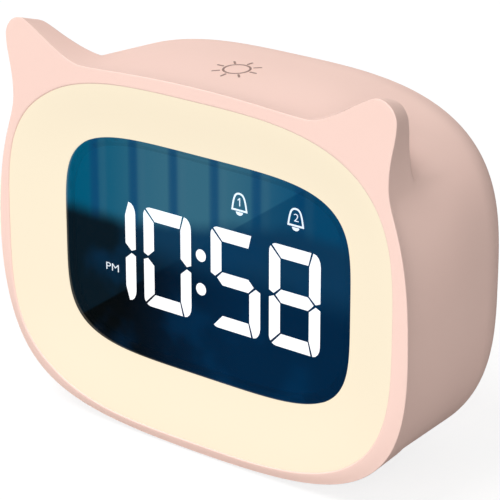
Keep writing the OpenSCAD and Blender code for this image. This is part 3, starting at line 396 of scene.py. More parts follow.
def lathe(name: str, profile: Sequence[Point], centre: Point, turns: int = 64) -> bpy.types.Object:
    """Turns a profile of (radius, depth) points about an axis along Y.

    Args:
        name: The piece's name.
        profile: Points in mm, from the axis out and back to the axis.
        centre: X and height of the axis in mm.
        turns: Faces round the axis.

    Returns:
        The new closed piece.
    """
    rows = []
    for radius, depth in profile:
        radius = max(radius, 0.01)
        rows.append([
            in_place(centre[0] + radius * math.sin(2 * math.pi * i / turns), depth,
                     centre[1] + radius * math.cos(2 * math.pi * i / turns))
            for i in range(turns)
        ])
    return smooth(loft(name, rows, closed=False, capped=True))


def softened_copy(node: str, name: str, width: float) -> bpy.types.Object:
    """Copies a node's mesh, merges it and rounds its edges.

    Args:
        node: The node to copy.
        name: The new piece's name.
        width: Width of the rounding in mm.

    Returns:
        The rounded piece, which is to replace the node.
    """
    piece = added(name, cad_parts[node].data.copy())
    with sculpting(piece) as sculpt:
        bmesh.ops.remove_doubles(sculpt, verts=sculpt.verts, dist=0.002 * MM)
        bmesh.ops.dissolve_limit(sculpt, angle_limit=FLAT_WITHIN, verts=sculpt.verts,
                                 edges=sculpt.edges)
    round_edges(piece, width, 35)
    smooth(settle(piece))
    piece.modifiers.new("even", "WEIGHTED_NORMAL").keep_sharp = True
    return settle(piece)


# ---- Finishes ---------------------------------------------------------------------------


class Grain(Enum):
    """How a surface was made, which decides the shape of its fine bumps."""

    MOULDED = "moulded against a fine sparked tool"
    BRUSHED = "drawn and brushed along one way"
    FIBROUS = "pressed from fibres"
    CELLULAR = "foamed"
    CAST = "smooth film or casting"


@dataclass(frozen=True)
class Finish:
    """One real material: its colours, its gloss and its fine surface.

    Sizes are millimetres. mottle is how far the colour wanders towards shade.
    """

    name: str
    colour: str
    shade: str
    roughness: float
    grain: Grain = Grain.MOULDED
    grain_size: float = 0.5
    grain_depth: float = 0.01
    mottle_size: float = 14.0
    mottle: float = 0.35
    spread: float = 0.05
    metallic: float = 0.0
    ior: float = 1.5
    specular: float = 0.5
    coat: float = 0.0
    coat_roughness: float = 0.1
    glow: float = 0.0
    alpha: float = 1.0

    def tint(self, tree: bpy.types.NodeTree, place: bpy.types.NodeSocket) -> bpy.types.Node:
        """Builds the colour over the surface.

        Args:
            tree: The material's tree.
            place: Object coordinates in metres.

        Returns:
            The node that gives the colour.
        """
        cloud = add_node(tree, "ShaderNodeTexNoise",
                         {"Vector": place, "Scale": PER_METRE / self.mottle_size, "Detail": 3.0})
        amount = add_node(tree, "ShaderNodeMapRange",
                          {"Value": cloud, "From Min": CLOUD_LOW, "From Max": CLOUD_HIGH,
                           "To Max": self.mottle})
        return add_node(tree, "ShaderNodeMix",
                        {0: amount, 6: linear(self.colour), 7: linear(self.shade)},
                        data_type="RGBA")

    def relief(self, tree: bpy.types.NodeTree, place: bpy.types.NodeSocket) -> bpy.types.Node:
        """Builds the height of the fine bumps.

        Args:
            tree: The material's tree.
            place: Object coordinates in metres.

        Returns:
            The node that gives the height, from 0 to 1.
        """
        scale = PER_METRE / self.grain_size
        if self.grain is Grain.CELLULAR:
            return add_node(tree, "ShaderNodeTexVoronoi", {"Vector": place, "Scale": scale})
        stretch = {Grain.BRUSHED: 0.06, Grain.FIBROUS: 0.3}.get(self.grain, 1.0)
        along = add_node(tree, "ShaderNodeMapping",
                         {"Vector": place, "Scale": (stretch, 1.0, 1.0)})
        return add_node(tree, "ShaderNodeTexNoise",
                        {"Vector": along, "Scale": scale,
                         "Detail": 1.0 if self.grain is Grain.CAST else 2.5})

    def colours(self, tree: bpy.types.NodeTree, colour: bpy.types.Node) -> Feeds:
        """Leads the colour to the shader's inputs.

        Args:
            tree: The material's tree.
            colour: The node that gives the colour.

        Returns:
            The shader's feeds for colour, and for glow where the surface shines.
        """
        glow = {"Emission Color": colour, "Emission Strength": self.glow} if self.glow else {}
        return {"Base Color": colour, **glow}

    def build(self) -> bpy.types.Material:
        """Makes the material, or gives the one already made.

        Returns:
            The material with this finish's name.
        """
        made = bpy.data.materials.get(self.name)
        if made:
            return made
        material = bpy.data.materials.new(self.name)
        tree = cleared_tree(material)
        place = add_node(tree, "ShaderNodeTexCoord").outputs["Object"]
        height = self.relief(tree, place)
        rough = add_node(tree, "ShaderNodeMapRange",
                         {"Value": height, "From Min": GRAIN_LOW, "From Max": GRAIN_HIGH,
                          "To Min": self.roughness - self.spread,
                          "To Max": self.roughness + self.spread})
        bump = add_node(tree, "ShaderNodeBump",
                        {"Height": height, "Distance": self.grain_depth * MM, "Strength": 1.0})
        shader = add_node(tree, "ShaderNodeBsdfPrincipled", {
            "Roughness": rough, "Metallic": self.metallic, "IOR": self.ior,
            "Specular IOR Level": self.specular, "Coat Weight": self.coat,
            "Coat Roughness": self.coat_roughness, "Alpha": self.alpha, "Normal": bump,
            **self.colours(tree, self.tint(tree, place))})
        add_node(tree, "ShaderNodeOutputMaterial", {"Surface": shader})
        return material


@dataclass(frozen=True)
class FrostedDiffuser(Finish):
    """Milky acrylic lit from behind. The eye sees one even warm cream with hardly a shadow."""

    lit: float = 0.82

    def colours(self, tree: bpy.types.NodeTree, colour: bpy.types.Node) -> Feeds:
        """Splits the colour between what the sheet reflects and what shines through it.

        Args:
            tree: The material's tree.
            colour: The node that gives the colour.

        Returns:
            The shader's feeds for colour and glow.
        """
        rest = 1 - self.lit
        dimmed = add_node(tree, "ShaderNodeMix", {0: 1.0, 6: colour, 7: (rest, rest, rest, 1.0)},
                          data_type="RGBA", blend_type="MULTIPLY")
        return {"Base Color": dimmed, "Emission Color": colour, "Emission Strength": self.lit}


@dataclass(frozen=True)
class PaintedReflectionTone:
    """One tone of the mirror's painted reflection, which fades in over its spans.

    A span is the name of a value and what it is where the shade starts and where it is full.
    """

    colour: object
    strength: float
    spans: Tuple[Tuple[str, float, float], ...]

    def over(self, tree: bpy.types.NodeTree, values: Dict[str, object],
             below: object) -> bpy.types.Node:
        """Lays the shade over what is below it.

        Args:
            tree: The material's tree.
            values: The nodes and sockets that the spans name.
            below: The colour or node below.

        Returns:
            The node that gives both together.
        """
        amount: object = self.strength
        for name, start, full in self.spans:
            fade = add_node(tree, "ShaderNodeMapRange",
                            {"Value": values[name], "From Min": start, "From Max": full},
                            interpolation_type="SMOOTHSTEP")
            amount = add_node(tree, "ShaderNodeMath", {0: fade, 1: amount}, operation="MULTIPLY")
        above = linear(self.colour) if isinstance(self.colour, str) else self.colour
        return add_node(tree, "ShaderNodeMix", {0: amount, 6: below, 7: above},
                        data_type="RGBA")


@dataclass(frozen=True)
class PaintedReflectionMirror(Finish):
    """Half-silvered smoked acrylic with a painted reflection of a dim room: teal above, navy below.

    across and up are millimetres, slope is the height over a slanting line, the bands run
    from -1 to 1 over upright stripes, and cloud is a soft noise.
    """

    band_step: float = 13.05
    dark_band_x: float = -9.06
    pale_band_x: float = -6.46
    slant: float = 0.685
    # Tones of the painted reflection, for its upper part and then for its lower part
    upper: Tuple[PaintedReflectionTone, ...] = (
        PaintedReflectionTone("#35697F", 1.0, (("across", -40.0, -8.0),)),
        PaintedReflectionTone("#0B4F74", 1.0, (("across", 4.0, 34.0),)),
        PaintedReflectionTone("#3F6A80", 0.25, (("pale_band", 0.55, 1.0),)),
        PaintedReflectionTone("#0C4670", 0.8, (("dark_band", 0.55, 1.0),)),
        PaintedReflectionTone("#003A5E", 0.55, (("slope", 54.3, 53.7),)),
    )
    lower: Tuple[PaintedReflectionTone, ...] = (
        PaintedReflectionTone("#002442", 1.0, (("across", -30.0, 14.0),)),
        PaintedReflectionTone("#0F3D5E", 0.7, (("up", 43.0, 54.0), ("across", -30.0, -14.0))),
        PaintedReflectionTone("#003A63", 0.3, (("cloud", 0.48, 0.7),)),
        PaintedReflectionTone("#1F5270", 0.08, (("slope", 53.7, 54.3),)),
    )

    def tint(self, tree: bpy.types.NodeTree, place: bpy.types.NodeSocket) -> bpy.types.Node:
        """Builds the painted reflection: soft upright bands over a bright upper part and a dark
        lower part.

        Args:
            tree: The material's tree.
            place: Object coordinates in metres.

        Returns:
            The node that gives the colour.
        """
        turn = 2 * math.pi / self.band_step
        sized = add_node(tree, "ShaderNodeMapping",
                         {"Vector": place, "Scale": (PER_METRE, PER_METRE, PER_METRE)})
        parts = add_node(tree, "ShaderNodeSeparateXYZ", {0: sized})
        values = add_nodes(tree, {
            "sized": sized, "across": parts.outputs["X"], "up": parts.outputs["Z"]}, (
            ("cloud", "ShaderNodeTexNoise", {"Vector": "sized", "Scale": 0.06, "Detail": 3.0}),
            ("pale_turn", MATH + "MULTIPLY_ADD", ("across", turn, -turn * self.pale_band_x)),
            ("pale_band", MATH + "COSINE", ("pale_turn",)),
            ("dark_turn", MATH + "MULTIPLY_ADD", ("across", turn, -turn * self.dark_band_x)),
            ("dark_band", MATH + "COSINE", ("dark_turn",)),
            ("slope", MATH + "MULTIPLY_ADD", ("across", -self.slant, "up")),
            ("uneven", MATH + "MULTIPLY_ADD", ("cloud", 5.0, "up")),
            ("rise", "ShaderNodeMapRange",
             {"Value": "across", "From Min": -30.0, "From Max": 30.0, "To Max": 9.0},
             {"interpolation_type": "SMOOTHSTEP"}),
            ("edge", MATH + "SUBTRACT", ("uneven", "rise")),
        ))
        # Painted reflection: each part starts from its own colour and takes its tones in turn
        upper, lower = linear("#005877"), linear("#020608")
        for tone in self.upper:
            upper = tone.over(tree, values, upper)
        for tone in self.lower:
            lower = tone.over(tree, values, lower)
        return PaintedReflectionTone(upper, 1.0, (("edge", 54.5, 60.0),)).over(tree, values, lower)

    def colours(self, tree: bpy.types.NodeTree, colour: bpy.types.Node) -> Feeds:
        """Gives the painted reflection's blues as glow over a black sheet, so that the lamps hardly
        change them.
        """
        return {"Base Color": linear("#000000"), "Emission Color": colour,
                "Emission Strength": self.glow}


@dataclass(frozen=True)
class SolderMask(Finish):
    """Green lacquer over copper tracks. The tracks show as slightly paler lines."""

    track_step: float = 1.3

    def tint(self, tree: bpy.types.NodeTree, place: bpy.types.NodeSocket) -> bpy.types.Node:
        """Draws square-cornered tracks in the lacquer's colour.

        Args:
            tree: The material's tree.
            place: Object coordinates in metres.

        Returns:
            The node that gives the colour.
        """
        upright = add_node(tree, "ShaderNodeMapping",
                           {"Vector": place, "Rotation": (math.radians(90), 0.0, 0.0)})
        return add_node(tree, "ShaderNodeTexBrick", {
            "Vector": upright, "Scale": PER_METRE / (4 * self.track_step),
            "Mortar Size": 0.06, "Color1": linear(self.colour), "Color2": linear(self.colour),
            "Mortar": linear(self.shade)})


# Satin soft-touch coat over moulded ABS: a powdery pink with a barely visible grain
PINK_SHELL = Finish("soft_touch_pink_abs", "#FEDCD0", "#FDD9CD", roughness=0.6, specular=0.03,
                    grain_size=0.45, grain_depth=0.004, mottle_size=30.0, mottle=0.5)
# Frosted acrylic with the warm diodes on behind it
DIFFUSER = FrostedDiffuser("frosted_warm_acrylic", "#FEF0D5", "#FEEFD2", roughness=0.6,
                           specular=0.1, grain_size=0.6, grain_depth=0.002, mottle=0.2)
# Black masking ink on the collar, which keeps the night light out of the display
MASKING_INK = Finish("black_masking_ink", "#08090A", "#0C0D0F", roughness=0.8, specular=0.1,
                     grain_size=0.4, grain_depth=0.002)
# Smoked half mirror: dark and glassy, with a painted reflection of a dim room in glowing blues
PAINTED_REFLECTION_LENS = PaintedReflectionMirror("smoked_half_mirror", "#07293F", "#07293F", roughness=0.04, spread=0.01,
                    grain=Grain.CAST, grain_size=8.0, grain_depth=0.0, specular=0.05,
                    glow=1.07, alpha=0.75)
# Clear resin with white diodes on behind it: the brightest thing on the clock
LIT_GUIDE = Finish("lit_white_resin", "#FFFFFF", "#F8FBFF", roughness=0.4, grain=Grain.CAST,
                   mottle=0.2, glow=18.0)
# The same resin with less light, for the small signs
SIGN_GUIDE = Finish("lit_sign_resin", "#F3F9FF", "#E9F4FF", roughness=0.4, grain=Grain.CAST,
                    mottle=0.2, glow=16.5)
# Resin cells with their diodes off: nearly as dark as the frame
DARK_GUIDE = Finish("unlit_grey_resin", "#15181C", "#1B2026", roughness=0.45, grain=Grain.CAST)
# Glass-filled nylon, matte black
BLACK_NYLON = Finish("black_glass_filled_nylon", "#15161A", "#1D1F23", roughness=0.6,
                     grain_size=0.3, grain_depth=0.006)
# Polycarbonate tub, white and smooth, to throw the light forward
WHITE_TUB = Finish("white_polycarbonate", "#F1ECE6", "#E9E3DB", roughness=0.4, grain_depth=0.003)
# Button caps in off-white satin ABS
CAP_ABS = Finish("off_white_satin_abs", "#F4ECE4", "#EFE5DC", roughness=0.42, grain_size=0.4,
                 grain_depth=0.003)
# Bright zinc over drawn steel: long fine streaks
ZINC = Finish("zinc_plated_steel", "#C4C7CB", "#9DA1A6", roughness=0.3, grain=Grain.BRUSHED,
              grain_size=0.25, grain_depth=0.003, metallic=1.0, mottle_size=3.0)
# Sintered ferrite: dull charcoal with a sandy skin
FERRITE = Finish("sintered_ferrite", "#4A4D50", "#3A3C3F", roughness=0.75, grain_size=0.3,
                 grain_depth=0.015)
# Treated black paper pulp: fibres show as faint streaks
PAPER = Finish("black_paper_pulp", "#27272A", "#333236", roughness=0.85, grain=Grain.FIBROUS,
               grain_size=0.5, grain_depth=0.03)
# Shrink film over the cell: glossy blue with a soft sheen
SHRINK_FILM = Finish("blue_shrink_film", "#3478AC", "#2C6A9C", roughness=0.22, grain=Grain.CAST,
                     grain_size=5.0, grain_depth=0.02, coat=0.3)
# Bare copper foil, a little oxidised
COPPER_FOIL = Finish("bare_copper_foil", "#D89A6A", "#B97B50", roughness=0.35,
                     grain=Grain.BRUSHED, grain_size=0.4, grain_depth=0.004, metallic=1.0)
# Red PVC sleeve on the leads: soft gloss
PVC_SLEEVE = Finish("red_pvc_sleeve", "#B4383A", "#9F2E31", roughness=0.4, grain=Grain.CAST,
                    grain_size=2.0, grain_depth=0.01)
# Polyimide film with copper under it: amber and glossy
POLYIMIDE = Finish("amber_polyimide_film", "#D0902F", "#B97A22", roughness=0.25,
                   grain=Grain.CAST, grain_size=1.2, grain_depth=0.004, mottle_size=1.2)
# Silicone feet: warm grey and dull
SILICONE = Finish("grey_silicone_rubber", "#8E8581", "#827A76", roughness=0.8, grain_size=0.4,
                  grain_depth=0.01)
# Closed-cell foam ring: tiny pores
FOAM = Finish("black_closed_cell_foam", "#202024", "#2B2B30", roughness=0.95,
              grain=Grain.CELLULAR, grain_size=0.5, grain_depth=0.08)
# Phosphor in the diodes: pale yellow
PHOSPHOR = Finish("yellow_diode_phosphor", "#F3DF92", "#EAD27C", roughness=0.5,
                  grain_size=0.2, grain_depth=0.01)
# Solder mask on every board
BOARD = SolderMask("green_solder_mask", "#1F5A3C", "#3D7F5C", roughness=0.3, grain=Grain.CAST,
                   grain_size=1.0, grain_depth=0.01, coat=0.2)
# Pad-printed ink on the touch mark: warm grey-brown, dead matte
PRINT_INK = Finish("pad_printed_brown_ink", "#9B7E75", "#A58A81", roughness=0.8,
                   grain_size=0.25, grain_depth=0.002, mottle_size=0.9)

NODE_FINISHES: Dict[str, Finish] = {
    "lens_tape": BLACK_NYLON, "display_frame": BLACK_NYLON, "lit_segments": LIT_GUIDE,
    "unlit_segments": DARK_GUIDE, "colon_dots": LIT_GUIDE, "alarm_bells": DARK_GUIDE,
    "pm_window": DARK_GUIDE, "segment_leds": PHOSPHOR, "display_board": BOARD,
    "display_screws": ZINC, "light_reflector": WHITE_TUB, "light_board": BOARD,
    "light_leds": PHOSPHOR, "light_screws": ZINC, "cover_screws": ZINC, "main_board": BOARD,
    "board_screws": ZINC, "main_chips": BLACK_NYLON, "lead_sockets": WHITE_TUB,
    "switch_bodies": BLACK_NYLON, "socket_tongue": BLACK_NYLON, "speaker_basket": ZINC,
    "speaker_cone": PAPER, "speaker_magnet": FERRITE, "speaker_gasket": FOAM,
    "battery_cell": SHRINK_FILM, "battery_holder": BLACK_NYLON, "battery_contacts": ZINC,
    "holder_screws": ZINC, "touch_pad": COPPER_FOIL, "touch_lead": PVC_SLEEVE,
    "light_lead": PVC_SLEEVE, "speaker_lead": PVC_SLEEVE, "battery_lead": PVC_SLEEVE,
    "display_ribbon": POLYIMIDE,
    **{f"plunger_{number}": BLACK_NYLON for number in range(1, 6)},
}


def dress(piece: bpy.types.Object, finish: Finish) -> bpy.types.Object:
    """Gives a piece one finish all over.

    Args:
        piece: The piece or node.
        finish: Its finish.

    Returns:
        The same piece.
    """
    piece.data.materials.clear()
    piece.data.materials.append(finish.build())
    return piece


def enter(piece: bpy.types.Object, finish: Finish, node: str = "",
          body: str = "clock") -> bpy.types.Object:
    """Dresses a piece and says where it belongs.

    Args:
        piece: The finished shape.
        finish: Its finish.
        node: The node that it replaces, if any.
        body: The body that it moves with.

    Returns:
        The same piece.
    """
    dress(piece, finish)
    if node:
        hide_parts(node)
    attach(piece, body)
    return piece


# ---- The body's form --------------------------------------------------------------------


def superellipse_r(a: float, half_w: float, half_h: float, power: float) -> float:
    """Gives a superellipse's radius in the direction a, counted from straight up."""
    return (abs(math.sin(a) / half_w) ** power + abs(math.cos(a) / half_h) ** power) ** (-1 / power)


def bezier(p0: Point, h0: Point, h1: Point, p1: Point, steps: int) -> List[Point]:
    """Samples a cubic curve.

    Args:
        p0: Where it starts.
        h0: The start's handle.
        h1: The end's handle.
        p1: Where it ends.
        steps: How many points it gets.

    Returns:
        The points, without the last one.
    """
    points = []
    for i in range(steps):
        t = i / steps
        u = 1 - t
        weights = (u ** 3, 3 * u * u * t, 3 * u * t * t, t ** 3)
        points.append(tuple(sum(w * p[k] for w, p in zip(weights, (p0, h0, h1, p1)))
                            for k in (0, 1)))
    return points


def pulled(p: Point, q: Point, way: int, share: float) -> Point:
    """Goes a share of the way from p to q, along X alone or along the height alone."""
    gone = p[way] + (q[way] - p[way]) * share
    return (p[0], gone) if way else (gone, p[1])


@dataclass
class BodyForm:
    """The moulded body's surface, from the same values as the solid model.

    The ear's four points count from the top right corner of the plain body, and the curves
    between the outline's seven points have a pull at either end and a number of steps.
    """

    width: float = 130.9
    height: float = 96.4
    depth: float = 50.0
    power: float = 3.15
    wall: float = 2.2
    side_draft: float = 3.0
    top_draft: float = 2.0
    rear_round: float = 16.0
    rear_inset_x: float = 14.0
    rear_inset_z: float = 10.4
    edge_r: float = 0.3
    foot_gap: float = 0.8
    face_drop: float = 1.3
    crown_drop: float = 1.62
    ear_points: Tuple[Point, ...] = ((-30.0, -2.86), (-10.4, 5.9), (-5.1, 0.8), (-7.0, -14.0))
    waist_in: float = 0.65
    waist_z: float = -5.0
    ways: Tuple[int, ...] = (0, 0, 0, 1, 1, 1, 0)
    pulls: Tuple[Tuple[float, float, int], ...] = (
        (0.5, 0.21, 6), (0.305, 0.16, 7), (0.62, 0.455, 4),
        (0.323, 0.464, 4), (0.204, 0.696, 5), (0.912, 0.692, 10),
    )
    detail: int = 5
    ear_rise: float = 16.2
    ear_tip_t: float = 6.6
    ear_root_t: float = 10.8
    ear_round: float = 0.7
    ear_lean: float = 0.014
    most_slant: float = 2.6
    slant_reach: int = 8
    hollow_depth: float = 26.0
    lip_drop: float = 0.35
    lip_depth: float = 5.0
    ear_wall: float = 2.6
    least_wall: float = 0.8
    angles: List[float] = field(default_factory=list)
    front_radii: List[float] = field(default_factory=list)
    slants: List[float] = field(default_factory=list)

    def __post_init__(self) -> None:
        """Samples the front outline, round both ears and back."""
        half = self.half_outline()
        ring = half + [(-x, z) for x, z in reversed(half[1:-1])]
        self.angles = [math.atan2(x, z) for x, z in ring]
        self.front_radii = [math.hypot(x, z) for x, z in ring]
        slants = []
        for i, (x, z) in enumerate(ring):
            before, after = ring[i - 1], ring[(i + 1) % len(ring)]
            run = math.hypot(after[0] - before[0], after[1] - before[1])
            facing = abs(x * (after[1] - before[1]) - z * (after[0] - before[0]))
            slants.append(min(self.most_slant, run * math.hypot(x, z) / facing))
        near = range(-self.slant_reach, self.slant_reach + 1)
        self.slants = [sum(slants[(i + k) % len(ring)] for k in near) / len(near)
                       for i in range(len(ring))]

    @property
    def mid_z(self) -> float:
        """Height of the body's middle above the table."""
        return self.foot_gap + self.height / 2

    @property
    def face_z(self) -> float:
        """Height of the light panel's middle above the table."""
        return self.mid_z - self.face_drop

    def half_outline(self) -> List[Point]:
        """Draws the right half of the front outline.

        Returns:
            X and height of its points in mm, from the top middle to the bottom middle.
        """
        side, top = self.width / 2, self.height / 2
        points = [(0.0, top - self.crown_drop), *((side + x, top + z) for x, z in self.ear_points),
                  (side - self.waist_in, self.waist_z), (0.0, -top)]
        outline: List[Point] = []
        for k, (leave, arrive, steps) in enumerate(self.pulls):
            p, q = points[k], points[k + 1]
            outline += bezier(p, pulled(p, q, self.ways[k], leave),
                              pulled(q, p, self.ways[k + 1], arrive), q, steps * self.detail)
        return outline + [points[-1]]

    def rounding(self, y: float) -> float:
        """Gives how far the rear rounding has turned in at depth y, from 0 to 1."""
        u = min(1.0, max(0.0, (y - self.depth + self.rear_round) / self.rear_round))
        return 1 - math.sqrt(1 - u * u)

    def body_r(self, a: float, y: float, inset: float = 0.0) -> float:
        """Gives the plain body's radius.

        Args:
            a: The direction, counted from straight up.
            y: Depth behind the front face in mm.
            inset: How far inside the surface, in mm.

        Returns:
            The radius in mm.
        """
        half_w, half_h = (
            size / 2 - draft * y / self.depth - turn_in * self.rounding(y) - inset
            for size, draft, turn_in in ((self.width, self.side_draft, self.rear_inset_x),
                                         (self.height, self.top_draft, self.rear_inset_z)))
        return superellipse_r(a, half_w, half_h, self.power)

    def rise(self, i: int) -> float:
        """Gives how far the front outline stands out of the plain body."""
        return self.front_radii[i] - self.body_r(self.angles[i], 0.0)

    def ear_step(self, i: int, y: float) -> float:
        """Gives an ear's height over the plain body.

        Args:
            i: Number of the direction.
            y: Depth behind the front face in mm.

        Returns:
            The height in mm. The back slopes down from the tip.
        """
        rise = self.rise(i)
        edge = self.ear_root_t - (self.ear_root_t - self.ear_tip_t) * rise / self.ear_rise
        gone = (y - edge + self.ear_round) / (self.ear_root_t - edge + 2 * self.ear_round)
        return rise * (1 - self.ear_lean * y * self.slants[i]) * (1 - eased(gone))

    def hollow_step(self, i: int, y: float) -> float:
        """Gives how deep the surface lies where the front outline dips.

        Args:
            i: Number of the direction.
            y: Depth behind the front face in mm.

        Returns:
            The depth in mm, below 0. Right behind the face it is a soft lip.
        """
        rise = self.rise(i)
        lip = y / self.lip_depth * math.exp(1 - y / self.lip_depth)
        return (rise * (1 - eased(y / self.hollow_depth))
                - self.lip_drop * min(1.0, -rise) * lip)

    def step(self, i: int, y: float) -> float:
        """Gives how far the surface stands out of the plain body at depth y."""
        return self.ear_step(i, y) if self.rise(i) > 0 else self.hollow_step(i, y)

    def inner(self, y: float) -> List[float]:
        """Gives the inner surface's radii.

        Args:
            y: Depth behind the front face in mm.

        Returns:
            A radius in mm for each direction.
        """
        return [min(self.body_r(a, y, self.wall)
                    + max(0.0, self.step(i, y + self.wall) - self.ear_wall),
                    self.body_r(a, y) + self.step(i, y) - self.least_wall)
                for i, a in enumerate(self.angles)]

    def oval(self, w: float, h: float, power: float, grow: float = 0.0) -> List[float]:
        """Gives a superellipse's radii, grown all round, in the body's ring directions."""
        return [superellipse_r(a, w / 2 + grow, h / 2 + grow, power) for a in self.angles]

    def ring(self, y: float, z: float, radii: Sequence[float]) -> List[Spot]:
        """Gives one ring of points in metres at depth y round the height z."""
        return [in_place(r * math.sin(a), y, z + r * math.cos(a))
                for a, r in zip(self.angles, radii)]

    def top_height(self, x: float, y: float) -> float:
        """Gives the top surface's height above the table near the middle.

        Args:
            x: Distance to the right of the middle in mm.
            y: Depth behind the front face in mm.

        Returns:
            The height in mm.
        """
        z = self.height / 2
        for _ in range(4):
            a = math.atan2(x, z)
            i = min(range(len(self.angles)), key=lambda k: abs(self.angles[k] - a))
            z = (self.body_r(a, y) + self.step(i, y)) * math.cos(a)
        return self.mid_z + z


BODY = BodyForm()


@dataclass
class PanelForm:
    """Sizes of the light panel and of the lens in it."""

    width: float = 120.1
    height: float = 88.2
    power: float = 3.3
    rim_y: float = 0.2
    gap: float = 0.15
    flange_t: float = 1.8
    ledge_w: float = 2.5
    ledge_t: float = 1.4
    lens_w: float = 90.5
    lens_h: float = 57.4
    lens_power: float = 4.3
    lens_y: float = 4.3
    lens_rise: float = 0.7
    lens_t: float = 1.0
    lens_gap: float = 0.15
    lip: float = 0.1
    left_reach: float = 1.1

    def oval(self, grow: float) -> List[float]:
        """Gives the panel outline's radii, grown all round."""
        return BODY.oval(self.width, self.height, self.power, grow)

    def lens_ring(self, y: float, grow: float) -> List[Spot]:
        """Gives the lens's outline at depth y in metres, grown all round."""
        return BODY.ring(y, BODY.face_z + self.lens_rise,
                         BODY.oval(self.lens_w, self.lens_h, self.lens_power, grow))

    def reached(self, p: Sequence[float]) -> Spot:
        """Makes the rim thinner on the left.

        Args:
            p: A point in metres.

        Returns:
            The point, drawn outwards if it is left of the lens.
        """
        start = self.lens_w / 2 * MM
        share = (-p[0] - start) / (self.width / 2 * MM - start)
        return (p[0] - self.left_reach * MM * eased(share), p[1], p[2])


PANEL = PanelForm()


# ---- Housing ----------------------------------------------------------------------------


